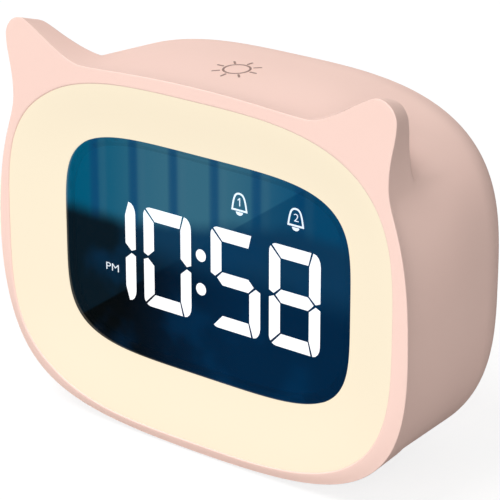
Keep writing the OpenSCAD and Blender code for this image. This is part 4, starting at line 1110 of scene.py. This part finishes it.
@dataclass
class HousingShell:
    """The one-piece shell: a rim round the panel, two ears and the rounded rear."""

    cover_w: float = 93.1
    cover_h: float = 67.6
    cover_gap: float = 0.2
    cover_recess: float = 0.8
    cover_t: float = 2.2
    cover_edges: Tuple[Point, ...] = ((0.0, 0.5), (0.0, 0.2), (0.2, 0.0))
    rear_ledge_w: float = 2.5
    rear_ledge_t: float = 2.0
    bevel: float = 0.3
    pocket_mid: float = 1.2
    face_shares: Tuple[float, ...] = (0.03, 0.2, 0.4, 0.6, 0.8, 0.97)
    face_curve: float = 1.25
    foot_l: float = 56.0
    foot_w: float = 7.0
    pad_w: float = 1.2
    pad_top: float = 4.2
    foot_depths: Tuple[float, float] = (11.0, 33.0)
    rim_lean: float = 1.0
    rim_swell: float = 0.35
    lean_depth: float = 12.0
    lean_from: float = 0.5
    sharp_from: float = 34.0
    edge_steps: int = 8
    ear_steps: int = 40
    side_steps: int = 6
    rear_steps: int = 24
    inside_steps: Tuple[int, int] = (8, 24)

    def skin_ring(self, y: float, cut: float = 0.0) -> List[Spot]:
        """Gives one ring of the outside, which leans back and swells a little low down.

        Args:
            y: Depth behind the front face in mm.
            cut: How far the ring is drawn in by the front edge's rounding.

        Returns:
            The ring's points in metres.
        """
        points = []
        for i, a in enumerate(BODY.angles):
            part = eased(-math.cos(a) / self.lean_from) * max(0.0, 1 - y / self.lean_depth)
            deep = y + self.rim_lean * part
            r = BODY.body_r(a, deep) + BODY.step(i, deep) - cut + self.rim_swell * part
            points.append(in_place(r * math.sin(a), deep, BODY.mid_z + r * math.cos(a)))
        return points

    def panel_pocket(self) -> List[List[Spot]]:
        """Builds the pocket's wall and the front face.

        Returns:
            Rings from the panel's ledge out to the front edge.
        """
        walls = [(PANEL.rim_y + PANEL.flange_t, 0.0), (self.pocket_mid, 0.0)]
        walls += [(self.bevel * (1 - sine), self.bevel * (1 - cosine))
                  for sine, cosine in quarter(3)]
        rows = [[PANEL.reached(p) for p in BODY.ring(y, BODY.face_z, PANEL.oval(PANEL.gap + grow))]
                for y, grow in walls]
        inside, outside = rows[-1], self.skin_ring(0.0, BODY.edge_r)
        for share in self.face_shares:
            shares = (share, share ** self.face_curve, share)
            rows.append([tuple(u + (v - u) * s for u, v, s in zip(p, q, shares))
                         for p, q in zip(inside, outside)])
        return rows

    def skin(self) -> List[List[Spot]]:
        """Builds the outside.

        Returns:
            Rings from the front edge to the rear rim.
        """
        rows = [self.skin_ring(BODY.edge_r * (1 - cosine), BODY.edge_r * (1 - sine))
                for sine, cosine in quarter(self.edge_steps)[:-1]]
        ear_end = BODY.ear_root_t + BODY.ear_round
        start = BODY.depth - BODY.rear_round
        depths = evenly(BODY.edge_r, ear_end, self.ear_steps)
        depths += evenly(ear_end, start, self.side_steps)[1:-1]
        depths += [start + BODY.rear_round * sine for sine, _ in quarter(self.rear_steps)]
        return rows + [self.skin_ring(y) for y in depths]

    def rear_pocket(self) -> List[List[Spot]]:
        """Builds the rear opening and the inside.

        Returns:
            Rings from the rear rim to the panel's ledge.
        """
        cover_y = BODY.depth - self.cover_recess - self.cover_t
        back_y = cover_y - self.rear_ledge_t
        opening = [(BODY.depth - up, self.cover_gap + out) for up, out in self.cover_edges]
        opening += [(cover_y, self.cover_gap), (cover_y, -self.rear_ledge_w),
                    (back_y, -self.rear_ledge_w)]
        rows = [BODY.ring(y, BODY.mid_z, BODY.oval(self.cover_w, self.cover_h, BODY.power, grow))
                for y, grow in opening]
        start = BODY.depth - BODY.rear_round
        front = PANEL.rim_y + PANEL.flange_t + PANEL.ledge_t
        rear, fore = self.inside_steps
        rows += [BODY.ring(y, BODY.mid_z, BODY.inner(y))
                 for y in evenly(back_y, start, rear) + evenly(start, front, fore)[1:]]
        return rows + [BODY.ring(y, BODY.face_z, PANEL.oval(-PANEL.ledge_w))
                       for y in (front, front - PANEL.ledge_t)]

    def stadium(self, grow: float, y: float, z: float) -> List[Spot]:
        """Gives a long round-ended ring round a foot.

        Args:
            grow: How far the ring lies outside the foot in mm.
            y: Depth of the foot's middle in mm.
            z: The ring's height in mm.

        Returns:
            The ring's points in metres.
        """
        radius, reach = self.foot_w / 2 + grow, (self.foot_l - self.foot_w) / 2
        return [in_place(side * reach + radius * math.cos(math.radians(a)),
                         y + radius * math.sin(math.radians(a)), z)
                for side, first in ((1, -90), (-1, 90))
                for a in evenly(first, first + 180, 16)]

    def foot_pad(self, y: float) -> bpy.types.Object:
        """Builds the raised rim round a foot.

        Args:
            y: Depth of the foot's middle in mm.

        Returns:
            The closed rim.
        """
        low, wide = BODY.foot_gap, self.pad_w
        profile = ((0.1, self.pad_top), (0.1, low + 0.2), (0.3, low), (wide - 0.4, low),
                   (wide - 0.12, low + 0.12), (wide, low + 0.4), (wide, self.pad_top))
        return loft("foot_rim", [self.stadium(grow, y, z) for grow, z in profile])

    def build(self) -> bpy.types.Object:
        """Builds the shell with its foot rims as one piece.

        Returns:
            The shell, which stands for the housing node.
        """
        shell = loft("moulded_shell", self.panel_pocket() + self.skin() + self.rear_pocket())
        with sculpting(shell) as sculpt:
            for y in self.foot_depths:
                rim = self.foot_pad(y)
                sculpt.from_mesh(rim.data)
                bpy.data.objects.remove(rim)
        return enter(smooth(shell, self.sharp_from), PINK_SHELL, "housing")


@dataclass
class TouchMark:
    """The printed sun over the touch pad: a ring and rays, made by a node tree."""

    centre: Point = (0.34, 17.4)
    ring_r: float = 3.3
    line: float = 0.55
    rays: int = 8
    ray_start: float = 4.0
    ray_length: float = 2.15
    height: float = 0.1

    def tree(self) -> bpy.types.NodeTree:
        """Builds the tree that lays out the ring and its rays.

        Returns:
            A tree with inputs for every size, the number of rays and the material.
        """
        bar = "GeometryNodeCurvePrimitiveQuadrilateral"
        inputs = {name: "Float" for name in (
            "Ring Radius", "Line Width", "Ray Start", "Ray Length", "Height")}
        return shape_tree("printed_sun", {**inputs, "Ray Count": "Int"}, (
            ("loop", "GeometryNodeCurvePrimitiveCircle",
             {"Resolution": 96, "Radius": "Ring Radius"}),
            ("section", bar, {"Width": "Line Width", "Height": "Height"}),
            ("ring", "GeometryNodeCurveToMesh", {"Curve": "loop", "Profile Curve": "section"}),
            ("bar", bar, {"Width": "Ray Length", "Height": "Line Width"}),
            ("half", MATH + "MULTIPLY", ("Line Width", 0.49)),
            ("rounded", "GeometryNodeFilletCurve",
             {"Curve": "bar", "Radius": "half", "Count": 5}, {"mode": "POLY"}),
            ("flat", "GeometryNodeFillCurve", {"Curve": "rounded"}, {"mode": "NGONS"}),
            ("raised", "GeometryNodeExtrudeMesh",
             {"Mesh": "flat", "Offset Scale": "Height", "Individual": False}),
            ("under", "GeometryNodeFlipFaces", {"Mesh": "flat"}),
            ("closed", "GeometryNodeJoinGeometry", (["raised", "under"],)),
            ("ray", "GeometryNodeMergeByDistance", {"Geometry": "closed", "Distance": 1e-7}),
            ("drop", MATH + "MULTIPLY", ("Height", -0.5)),
            ("reach", MATH + "MULTIPLY_ADD", ("Ray Length", 0.5, "Ray Start")),
            ("offset", "ShaderNodeCombineXYZ", {0: "reach", 2: "drop"}),
            ("placed", "GeometryNodeTransform", {"Geometry": "ray", "Translation": "offset"}),
            ("spots", "GeometryNodePoints", {"Count": "Ray Count"}),
            ("index", "GeometryNodeInputIndex", ()),
            ("step", MATH + "DIVIDE", (2 * math.pi, "Ray Count")),
            ("turn", MATH + "MULTIPLY", ("index", "step")),
            ("turned", "ShaderNodeCombineXYZ", {2: "turn"}),
            ("rays", "GeometryNodeInstanceOnPoints",
             {"Points": "spots", "Instance": "placed", "Rotation": "turned"}),
            ("shape", "GeometryNodeJoinGeometry", (["rays", "ring"],)),
        ))

    def build(self) -> bpy.types.Object:
        """Builds the mark and lays it on the housing's top.

        Returns:
            The mark, half sunk in the surface that it is printed on.
        """
        mark = grown("printed_sun_mark", self.tree(), {
            "Ring Radius": self.ring_r * MM, "Line Width": self.line * MM,
            "Ray Count": self.rays, "Ray Start": self.ray_start * MM,
            "Ray Length": self.ray_length * MM, "Height": self.height * MM,
            "Finish": PRINT_INK.build()})
        for vertex in mark.data.vertices:
            x, y, lift = (c / MM for c in vertex.co)
            x, y = x + self.centre[0], y + self.centre[1]
            vertex.co = in_place(x, y, BODY.top_height(x, y) + lift)
        face_outwards(mark)
        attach(mark, "clock")
        return mark


# ---- Light panel and lens ---------------------------------------------------------------


@dataclass
class LightPanel:
    """The dished diffuser: a ring whose outline turns from the rim's to the lens's."""

    around: int = 360
    across: int = 40
    tape_t: float = 0.3
    ledge_w: float = 2.2
    ledge_t: float = 1.5
    fill: float = 0.12
    edge: float = 0.1
    collar_start: float = 0.6
    collar_fit: float = 0.02
    collar_w: float = 1.8

    def tree(self) -> bpy.types.NodeTree:
        """Builds the tree that lofts the dish from a flat grid.

        Each point's place across the grid gives its direction round the panel, and its place
        up the grid gives its share of the way from the rim to the lens.

        Returns:
            A tree with inputs for both outlines, both depths and the material.
        """
        rows = [
            ("grid", "GeometryNodeMeshGrid",
             {"Size X": 1.0, "Size Y": 1.0, "Vertices X": self.around + 1,
              "Vertices Y": self.across + 1}),
            ("place", "GeometryNodeInputPosition", ()),
            ("parts", "ShaderNodeSeparateXYZ", ("place",)),
            ("angle", MATH + "MULTIPLY_ADD", ("parts.X", 2 * math.pi, math.pi)),
            ("share", MATH + "ADD", ("parts.Y", 0.5)),
            ("sine", MATH + "SINE", ("angle",)),
            ("cosine", MATH + "COSINE", ("angle",)),
        ]
        for size in ("Power", "Width", "Height"):
            rows += [
                (f"{size} change", MATH + "SUBTRACT", (f"Lens {size}", f"Panel {size}")),
                (size, MATH + "MULTIPLY_ADD", (f"{size} change", "share", f"Panel {size}")),
            ]
        for wave, size in (("sine", "Width"), ("cosine", "Height")):
            rows += [
                (f"{size} half", MATH + "MULTIPLY", (size, 0.5)),
                (f"{size} ratio", MATH + "DIVIDE", (wave, f"{size} half")),
                (f"{size} length", MATH + "ABSOLUTE", (f"{size} ratio",)),
                (f"{size} term", MATH + "POWER", (f"{size} length", "Power")),
            ]
        rows += [
            ("terms", MATH + "ADD", ("Width term", "Height term")),
            ("root", MATH + "DIVIDE", (-1.0, "Power")),
            ("radius", MATH + "POWER", ("terms", "root")),
            ("square", MATH + "MULTIPLY", ("share", "share")),
            ("taper", MATH + "MULTIPLY_ADD", ("share", -2.0, 3.0)),
            ("curl", MATH + "MULTIPLY", ("square", "taper")),
            ("both", MATH + "ADD", ("share", "curl")),
            ("sink", MATH + "MULTIPLY", ("both", 0.5)),
            ("fall", MATH + "SUBTRACT", ("Lens Depth", "Rim Depth")),
            ("depth", MATH + "MULTIPLY_ADD", ("fall", "sink", "Rim Depth")),
            ("lift", MATH + "MULTIPLY", ("Lens Rise", "share")),
            ("x", MATH + "MULTIPLY", ("radius", "sine")),
            ("z", MATH + "MULTIPLY_ADD", ("radius", "cosine", "lift")),
            ("moved", "ShaderNodeCombineXYZ", ("x", "depth", "z")),
            ("dish", "GeometryNodeSetPosition", {"Geometry": "grid", "Position": "moved"}),
            ("shape", "GeometryNodeMergeByDistance", {"Geometry": "dish", "Distance": 1e-5}),
        ]
        return shape_tree("dished_panel", {name: "Float" for name in (
            "Panel Width", "Panel Height", "Panel Power", "Lens Width", "Lens Height",
            "Lens Power", "Rim Depth", "Lens Depth", "Lens Rise")}, rows)

    def build_dish(self) -> bpy.types.Object:
        """Builds the dish with its thickness and its soft edges.

        Returns:
            The dish, a closed ring with a wall.
        """
        wider, narrower = 2 * self.fill, 2 * (PANEL.lens_gap - self.fill)
        dish = grown("dished_diffuser", self.tree(), {
            "Panel Width": (PANEL.width + wider) * MM, "Panel Height": (PANEL.height + wider) * MM,
            "Panel Power": PANEL.power, "Lens Width": (PANEL.lens_w + narrower) * MM,
            "Lens Height": (PANEL.lens_h + narrower) * MM, "Lens Power": PANEL.lens_power,
            "Rim Depth": PANEL.rim_y * MM, "Lens Depth": (PANEL.lens_y - PANEL.lip) * MM,
            "Lens Rise": PANEL.lens_rise * MM, "Finish": DIFFUSER.build()})
        for vertex in dish.data.vertices:
            vertex.co += Vector((0.0, -BODY.depth / 2 * MM, BODY.face_z * MM))
            vertex.co = PANEL.reached(vertex.co)
        face_outwards(dish)
        if sum(p.normal.y * p.area for p in dish.data.polygons) > 0:
            dish.data.flip_normals()
        wall = dish.modifiers.new("wall", "SOLIDIFY")
        wall.thickness = PANEL.flange_t * MM
        wall.offset = -1.0
        round_edges(dish, self.edge, 40)
        settle(dish)
        face_outwards(dish)
        return smooth(dish)

    def build_collar(self) -> bpy.types.Object:
        """Builds the collar behind the dish that holds the lens.

        Returns:
            The collar, a closed ring.
        """
        front, inner = PANEL.lens_y + self.collar_start, PANEL.lens_gap + self.collar_fit
        back, out = PANEL.lens_y + PANEL.lens_t + self.tape_t, PANEL.lens_gap + self.collar_w
        ledge = back + self.ledge_t
        corners = ((front, inner), (back, inner), (back, -self.ledge_w), (ledge, -self.ledge_w),
                   (ledge, out), (front, out))
        return smooth(loft("lens_collar", [PANEL.lens_ring(y, grow) for y, grow in corners]))

    def build(self) -> List[bpy.types.Object]:
        """Builds the panel's pieces, which stand for the light panel node."""
        return [enter(self.build_dish(), DIFFUSER, "light_panel"),
                enter(self.build_collar(), MASKING_INK, "light_panel")]


@dataclass
class Lens:
    """The smoked half mirror over the display."""

    edge: float = 0.2
    rear_edge: float = 0.1
    land: float = 1.0

    def build(self) -> bpy.types.Object:
        """Builds the plate with a soft front edge.

        Returns:
            The plate, which stands for the lens node.
        """
        front, back, e = PANEL.lens_y, PANEL.lens_y + PANEL.lens_t, self.edge
        profile = ((-self.land, front), (-e - 0.05, front), (-e, front),
                   (-0.3 * e, front + 0.3 * e), (0.0, front + e), (0.0, back - self.rear_edge),
                   (-self.rear_edge, back), (-self.land, back))
        rows = [PANEL.lens_ring(y, grow) for grow, y in profile]
        plate = smooth(loft("smoked_plate", rows, closed=False, capped=True))
        return enter(plate, PAINTED_REFLECTION_LENS, "smoked_lens")


# ---- Signs in the display ---------------------------------------------------------------


@dataclass
class Signs:
    """The two numbered bells and the afternoon letters, printed bright behind the lens."""

    line: float = 0.45
    bells_x: Tuple[float, float] = (11.05, 28.15)
    bell_w: float = 5.0
    bell_h: float = 4.64
    bell_low: float = 65.4
    crown_pull: float = 0.36
    flare: Point = (0.40, 0.62)
    clapper_r: float = 1.08
    clapper_gap: float = 0.22
    clapper_squash: float = 0.8
    sign_h: float = 2.05
    stroke: float = 0.26
    stem_x: float = 0.1
    flag_x: float = -0.5
    flag_drops: Spot = (0.45, 0.72, 0.36)
    number_rise: float = 1.28
    two_shift: float = -0.56
    two_w: float = 1.4
    afternoon: Point = (-32.6, 40.2)
    afternoon_h: float = 2.1
    afternoon_w: float = 4.2
    capital: float = 0.73
    thinned: float = -0.03
    print_y: float = 5.36
    print_t: float = 0.04

    def slab(self, name: str, outline: Sequence[Point], hole: Sequence[Point] = ()
             ) -> bpy.types.Object:
        """Makes a thin plate in the display's plane.

        Args:
            name: The piece's name.
            outline: X and height of each corner in mm.
            hole: Corners of an opening with as many points as the outline.

        Returns:
            The closed plate.
        """
        near, far = self.print_y - self.print_t, self.print_y
        rings = [(outline, near), (outline, far)] + ([(hole, far), (hole, near)] if hole else [])
        rows = [[in_place(x, y, z) for x, z in ring] for ring, y in rings]
        return loft(name, rows, closed=bool(hole), capped=not hole)

    def bell_outline(self, x: float, inset: float) -> List[Point]:
        """Gives a bell's outline.

        Args:
            x: The bell's middle in mm.
            inset: How far it is drawn in all round, in mm.

        Returns:
            X and height of its points in mm.
        """
        w, h = self.bell_w / 2, self.bell_h
        flare = (self.flare[0] * self.bell_w, self.flare[1] * h)
        right = bezier((0.0, h), (self.crown_pull * self.bell_w, h), flare, (w, 0.0), 16)
        right.append((w, 0.0))
        points = []
        for i, (u, v) in enumerate(right):
            before, after = right[max(i - 1, 0)], right[min(i + 1, len(right) - 1)]
            along = Vector((after[0] - before[0], after[1] - before[1])).normalized()
            points.append((u + along.y * inset, max(v - along.x * inset, inset)))
        points[0] = (0.0, points[0][1])
        points[-1] = (points[-1][0] - 0.35 * inset, inset)
        left = [(-u, v) for u, v in reversed(points[1:])]
        return [(x + u, self.bell_low + v) for u, v in left + points]

    def clapper(self, x: float) -> List[Point]:
        """Gives the half-round clapper under a bell.

        Args:
            x: The bell's middle in mm.

        Returns:
            X and height of its points in mm.
        """
        top, deep = self.bell_low - self.clapper_gap, self.clapper_squash * self.clapper_r
        return [(x + self.clapper_r * math.cos(math.radians(a)),
                 top + deep * math.sin(math.radians(a))) for a in range(180, 361, 12)]

    def numeral_one(self, x: float, low: float) -> List[Point]:
        """Gives a plain 1 with a flag and no foot.

        Args:
            x: The bell's middle in mm, just left of the stem.
            low: The figure's foot in mm.

        Returns:
            X and height of its points in mm.
        """
        top, stem, flag = low + self.sign_h, x + self.stem_x, x + self.flag_x
        left, right = stem - self.stroke / 2, stem + self.stroke / 2
        tip, under, root = (top - drop for drop in self.flag_drops)
        return [(right, low), (right, top), (left, top), (flag, tip), (flag, under),
                (left, root), (left, low)]

    def lettering(self, text: str, corner: Point, height: float, width: float
                  ) -> bpy.types.Object:
        """Makes plain generic letters or digits.

        Args:
            text: What to write.
            corner: X and height of the lower left corner in mm.
            height: Height of a capital in mm.
            width: Width of the whole text in mm.

        Returns:
            The letters as one flat mesh in the display's plane.
        """
        body = bpy.data.curves.new(f"sign_{text}", "FONT")
        body.body = text
        body.size = height * MM / self.capital
        body.offset = self.thinned * MM
        body.extrude = self.print_t * MM / 2
        letters = added(f"sign_{text}", body)
        mesh = plain_mesh(letters)
        bpy.data.objects.remove(letters)
        left = min(v.co.x for v in mesh.vertices)
        stretch = width * MM / (max(v.co.x for v in mesh.vertices) - left)
        place = Vector(in_place(corner[0], self.print_y - self.print_t / 2, corner[1]))
        for vertex in mesh.vertices:
            x, up, out = vertex.co
            vertex.co = place + Vector(((x - left) * stretch, -out, up))
        piece = added(f"sign_{text}", mesh)
        face_outwards(piece, 1e-7)
        return piece

    def build(self) -> List[bpy.types.Object]:
        """Builds the signs.

        Returns:
            The plates and letters, each riding on the clock.
        """
        pieces = []
        for number, x in enumerate(self.bells_x, 1):
            pieces.append(self.slab(f"bell_outline_{number}", self.bell_outline(x, 0.0),
                                    self.bell_outline(x, self.line)))
            pieces.append(self.slab(f"bell_clapper_{number}", self.clapper(x)))
        first, second = self.bells_x
        base = self.bell_low + self.number_rise
        pieces.append(self.slab("bell_number_1", self.numeral_one(first, base)))
        pieces.append(self.lettering("2", (second + self.two_shift, base), self.sign_h,
                                     self.two_w))
        pieces.append(self.lettering("PM", self.afternoon, self.afternoon_h, self.afternoon_w))
        return [enter(piece, SIGN_GUIDE) for piece in pieces]


# ---- Rear, buttons and feet -------------------------------------------------------------


@dataclass
class RearSide:
    """The cover with its grille, the five buttons, the socket and the feet."""

    buttons: int = 5
    cap_r: float = 4.0
    flange_r: float = 5.2
    flange_t: float = 1.0
    flange_edge: float = 0.1
    rim_r: float = 0.4
    rim_w: float = 0.55
    dish: float = 0.18
    cover_edge: float = 0.25
    feet_edge: float = 0.35
    socket_edge: float = 0.08

    def build_cap(self, number: int) -> bpy.types.Object:
        """Builds one button's cap with a rounded rim and a shallow finger dish.

        Args:
            number: The button's number, from 1.

        Returns:
            The cap, which rides on its own sliding body.
        """
        low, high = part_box(f"button_{number}")
        centre = ((low.x + high.x) / 2 / MM, (low.z + high.z) / 2 / MM)
        start, end = low.y / MM + BODY.depth / 2, high.y / MM + BODY.depth / 2
        lift, wide, edge = start + self.flange_t, self.flange_r, self.flange_edge
        profile = [(0.0, start), (wide - edge, start), (wide, start + edge), (wide, lift - edge),
                   (wide - edge, lift), (self.cap_r, lift)]
        profile += [(self.cap_r - self.rim_r * (1 - cosine), end - self.rim_r * (1 - sine))
                    for sine, cosine in quarter(3)]
        profile += [((self.cap_r - self.rim_w) * (1 - s),
                     end - self.dish * math.sin(math.pi * s / 2))
                    for s in (0.0, 0.15, 0.35, 0.6, 1.0)]
        cap = lathe(f"button_cap_{number}", profile, centre)
        return enter(cap, CAP_ABS, f"button_{number}", f"push_{number}")

    def build(self) -> List[bpy.types.Object]:
        """Builds every piece of the rear and the feet.

        Returns:
            The cover, the caps, the feet and the socket.
        """
        cover = softened_copy("rear_cover", "rear_cover_plate", self.cover_edge)
        caps = [self.build_cap(number) for number in range(1, self.buttons + 1)]
        feet = softened_copy("rubber_feet", "silicone_feet", self.feet_edge)
        socket = softened_copy("socket_shell", "power_socket_shell", self.socket_edge)
        return [enter(cover, PINK_SHELL, "rear_cover"), *caps,
                enter(feet, SILICONE, "rubber_feet"),
                enter(socket, ZINC, "socket_shell")]


@dataclass
class InnerWorks:
    """Everything behind the panel and the cover: the nodes' own shapes, each in its finish."""

    finishes: Dict[str, Finish] = field(default_factory=lambda: dict(NODE_FINISHES))

    def build(self) -> List[bpy.types.Object]:
        """Gives every shown node its finish."""
        return [dress(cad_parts[name], finish) for name, finish in self.finishes.items()]


# ---- Stage ------------------------------------------------------------------------------


@dataclass(frozen=True)
class Lamp:
    """One soft lamp: its strength, its width in degrees and where it shines from.

    A lamp that doesn't shine gives light but shows in no gloss.
    """

    name: str
    strength: float
    width: float
    source: Spot
    shines: bool = True

    def hang(self) -> None:
        """Adds the lamp to the scene."""
        light = bpy.data.lights.new(self.name, "SUN")
        light.energy = self.strength
        light.angle = math.radians(self.width)
        lamp = added(self.name, light)
        lamp.rotation_mode = "QUATERNION"
        lamp.rotation_quaternion = Vector(self.source).to_track_quat("Z", "Y")
        lamp.visible_glossy = self.shines


@dataclass
class Stage:
    """A pale floor, even studio light and the camera."""

    ambient: float = 0.301
    lamps: Tuple[Lamp, ...] = (
        Lamp("front_softbox", 0.877, 30, (0.0, -0.956, 0.292)),
        Lamp("side_softbox", 1.013, 30, (0.604, -0.72, 0.342)),
        Lamp("top_softbox", 1.385, 30, (-0.171, -0.47, 0.866)),
        Lamp("rear_fill", 1.5, 10, (-0.6, 0.8, 0.05), shines=False),
    )
    floor_half: float = 6.0
    floor_bounce: float = 0.34
    floor_white: float = 0.80
    floor_shade: float = 0.26
    eye: Spot = (350.73, -431.03, 254.1)
    aim: Spot = (19.08, -25.47, 59.13)
    lens: float = 170.765
    sensor: float = 36.0
    roll: float = 0.019
    clip: Tuple[float, float] = (0.01, 30.0)

    def build_world(self) -> None:
        """Lights everything evenly, and shows white to the camera and in reflections."""
        world = bpy.data.worlds.new("studio")
        bpy.context.scene.world = world
        add_nodes(cleared_tree(world), {}, (
            ("path", "ShaderNodeLightPath", ()),
            ("seen", MATH + "ADD", ("path.Is Camera Ray", "path.Is Glossy Ray")),
            ("white", MATH + "ADD", ("seen", "path.Is Transmission Ray"), {"use_clamp": True}),
            ("strength", "ShaderNodeMapRange",
             {"Value": "white", "To Min": self.ambient, "To Max": 1.0}),
            ("light", "ShaderNodeBackground", {"Color": WHITE, "Strength": "strength"}),
            ("result", "ShaderNodeOutputWorld", {"Surface": "light"}),
        ))

    def build_floor(self) -> None:
        """Adds the floor, white to the eye with the clock's soft shadow on it."""
        half, bounce, shade = self.floor_half, self.floor_bounce, self.floor_shade
        floor = link_mesh("floor", [(-half, -half, 0), (half, -half, 0), (half, half, 0),
                                    (-half, half, 0)], [(0, 1, 2, 3)])
        material = bpy.data.materials.new("white_seamless_paper")
        add_nodes(cleared_tree(material), {}, (
            ("path", "ShaderNodeLightPath", ()),
            ("place", "ShaderNodeTexCoord", ()),
            ("fibre", "ShaderNodeTexNoise", {"Vector": "place.Object", "Scale": 900.0}),
            ("bump", "ShaderNodeBump", {"Height": "fibre", "Distance": 1e-5}),
            ("paper", "ShaderNodeBsdfDiffuse",
             {"Color": (bounce, bounce, bounce, 1.0), "Normal": "bump"}),
            ("shadow", "ShaderNodeBsdfDiffuse",
             {"Color": (shade, shade, shade, 1.0), "Normal": "bump"}),
            ("glow", "ShaderNodeEmission", {"Color": WHITE, "Strength": self.floor_white}),
            ("seen", "ShaderNodeAddShader", ("shadow", "glow")),
            ("both", "ShaderNodeMixShader", ("path.Is Camera Ray", "paper", "seen")),
            ("result", "ShaderNodeOutputMaterial", {"Surface": "both"}),
        ))
        floor.data.materials.append(material)
        floor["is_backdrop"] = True

    def build_camera(self) -> None:
        """Adds the camera at the viewing angle."""
        data = bpy.data.cameras.new("camera")
        data.lens = self.lens
        data.sensor_width = self.sensor
        data.clip_start, data.clip_end = self.clip
        camera = added("camera", data)
        eye, aim = Vector(self.eye) * MM, Vector(self.aim) * MM
        turn = (aim - eye).to_track_quat("-Z", "Y").to_matrix().to_4x4()
        turn = turn @ Matrix.Rotation(math.radians(self.roll), 4, "Z")
        camera.matrix_world = Matrix.Translation(eye) @ turn
        bpy.context.scene.camera = camera

    def build(self) -> None:
        """Builds the whole stage."""
        bpy.context.scene.view_settings.view_transform = "Standard"
        self.build_camera()
        self.build_world()
        for lamp in self.lamps:
            lamp.hang()
        self.build_floor()


def corners() -> List[List[float]]:
    """Gives the lowest and the highest corner of the shown object as plain lists."""
    return [list(corner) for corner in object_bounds()]


def main() -> None:
    """Builds every sub-assembly in order and reports its pieces."""
    logging.basicConfig(level=logging.INFO, format="%(name)s: %(message)s")
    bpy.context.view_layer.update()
    Stage().build()
    built: List[bpy.types.Object] = [HousingShell().build(), TouchMark().build()]
    built += LightPanel().build()
    built.append(Lens().build())
    built += Signs().build()
    built += RearSide().build()
    built += InnerWorks().build()
    for piece in built:
        LOG.info("%s: %d faces", piece.name, len(piece.data.polygons))


if __name__ == "__main__":
    main()
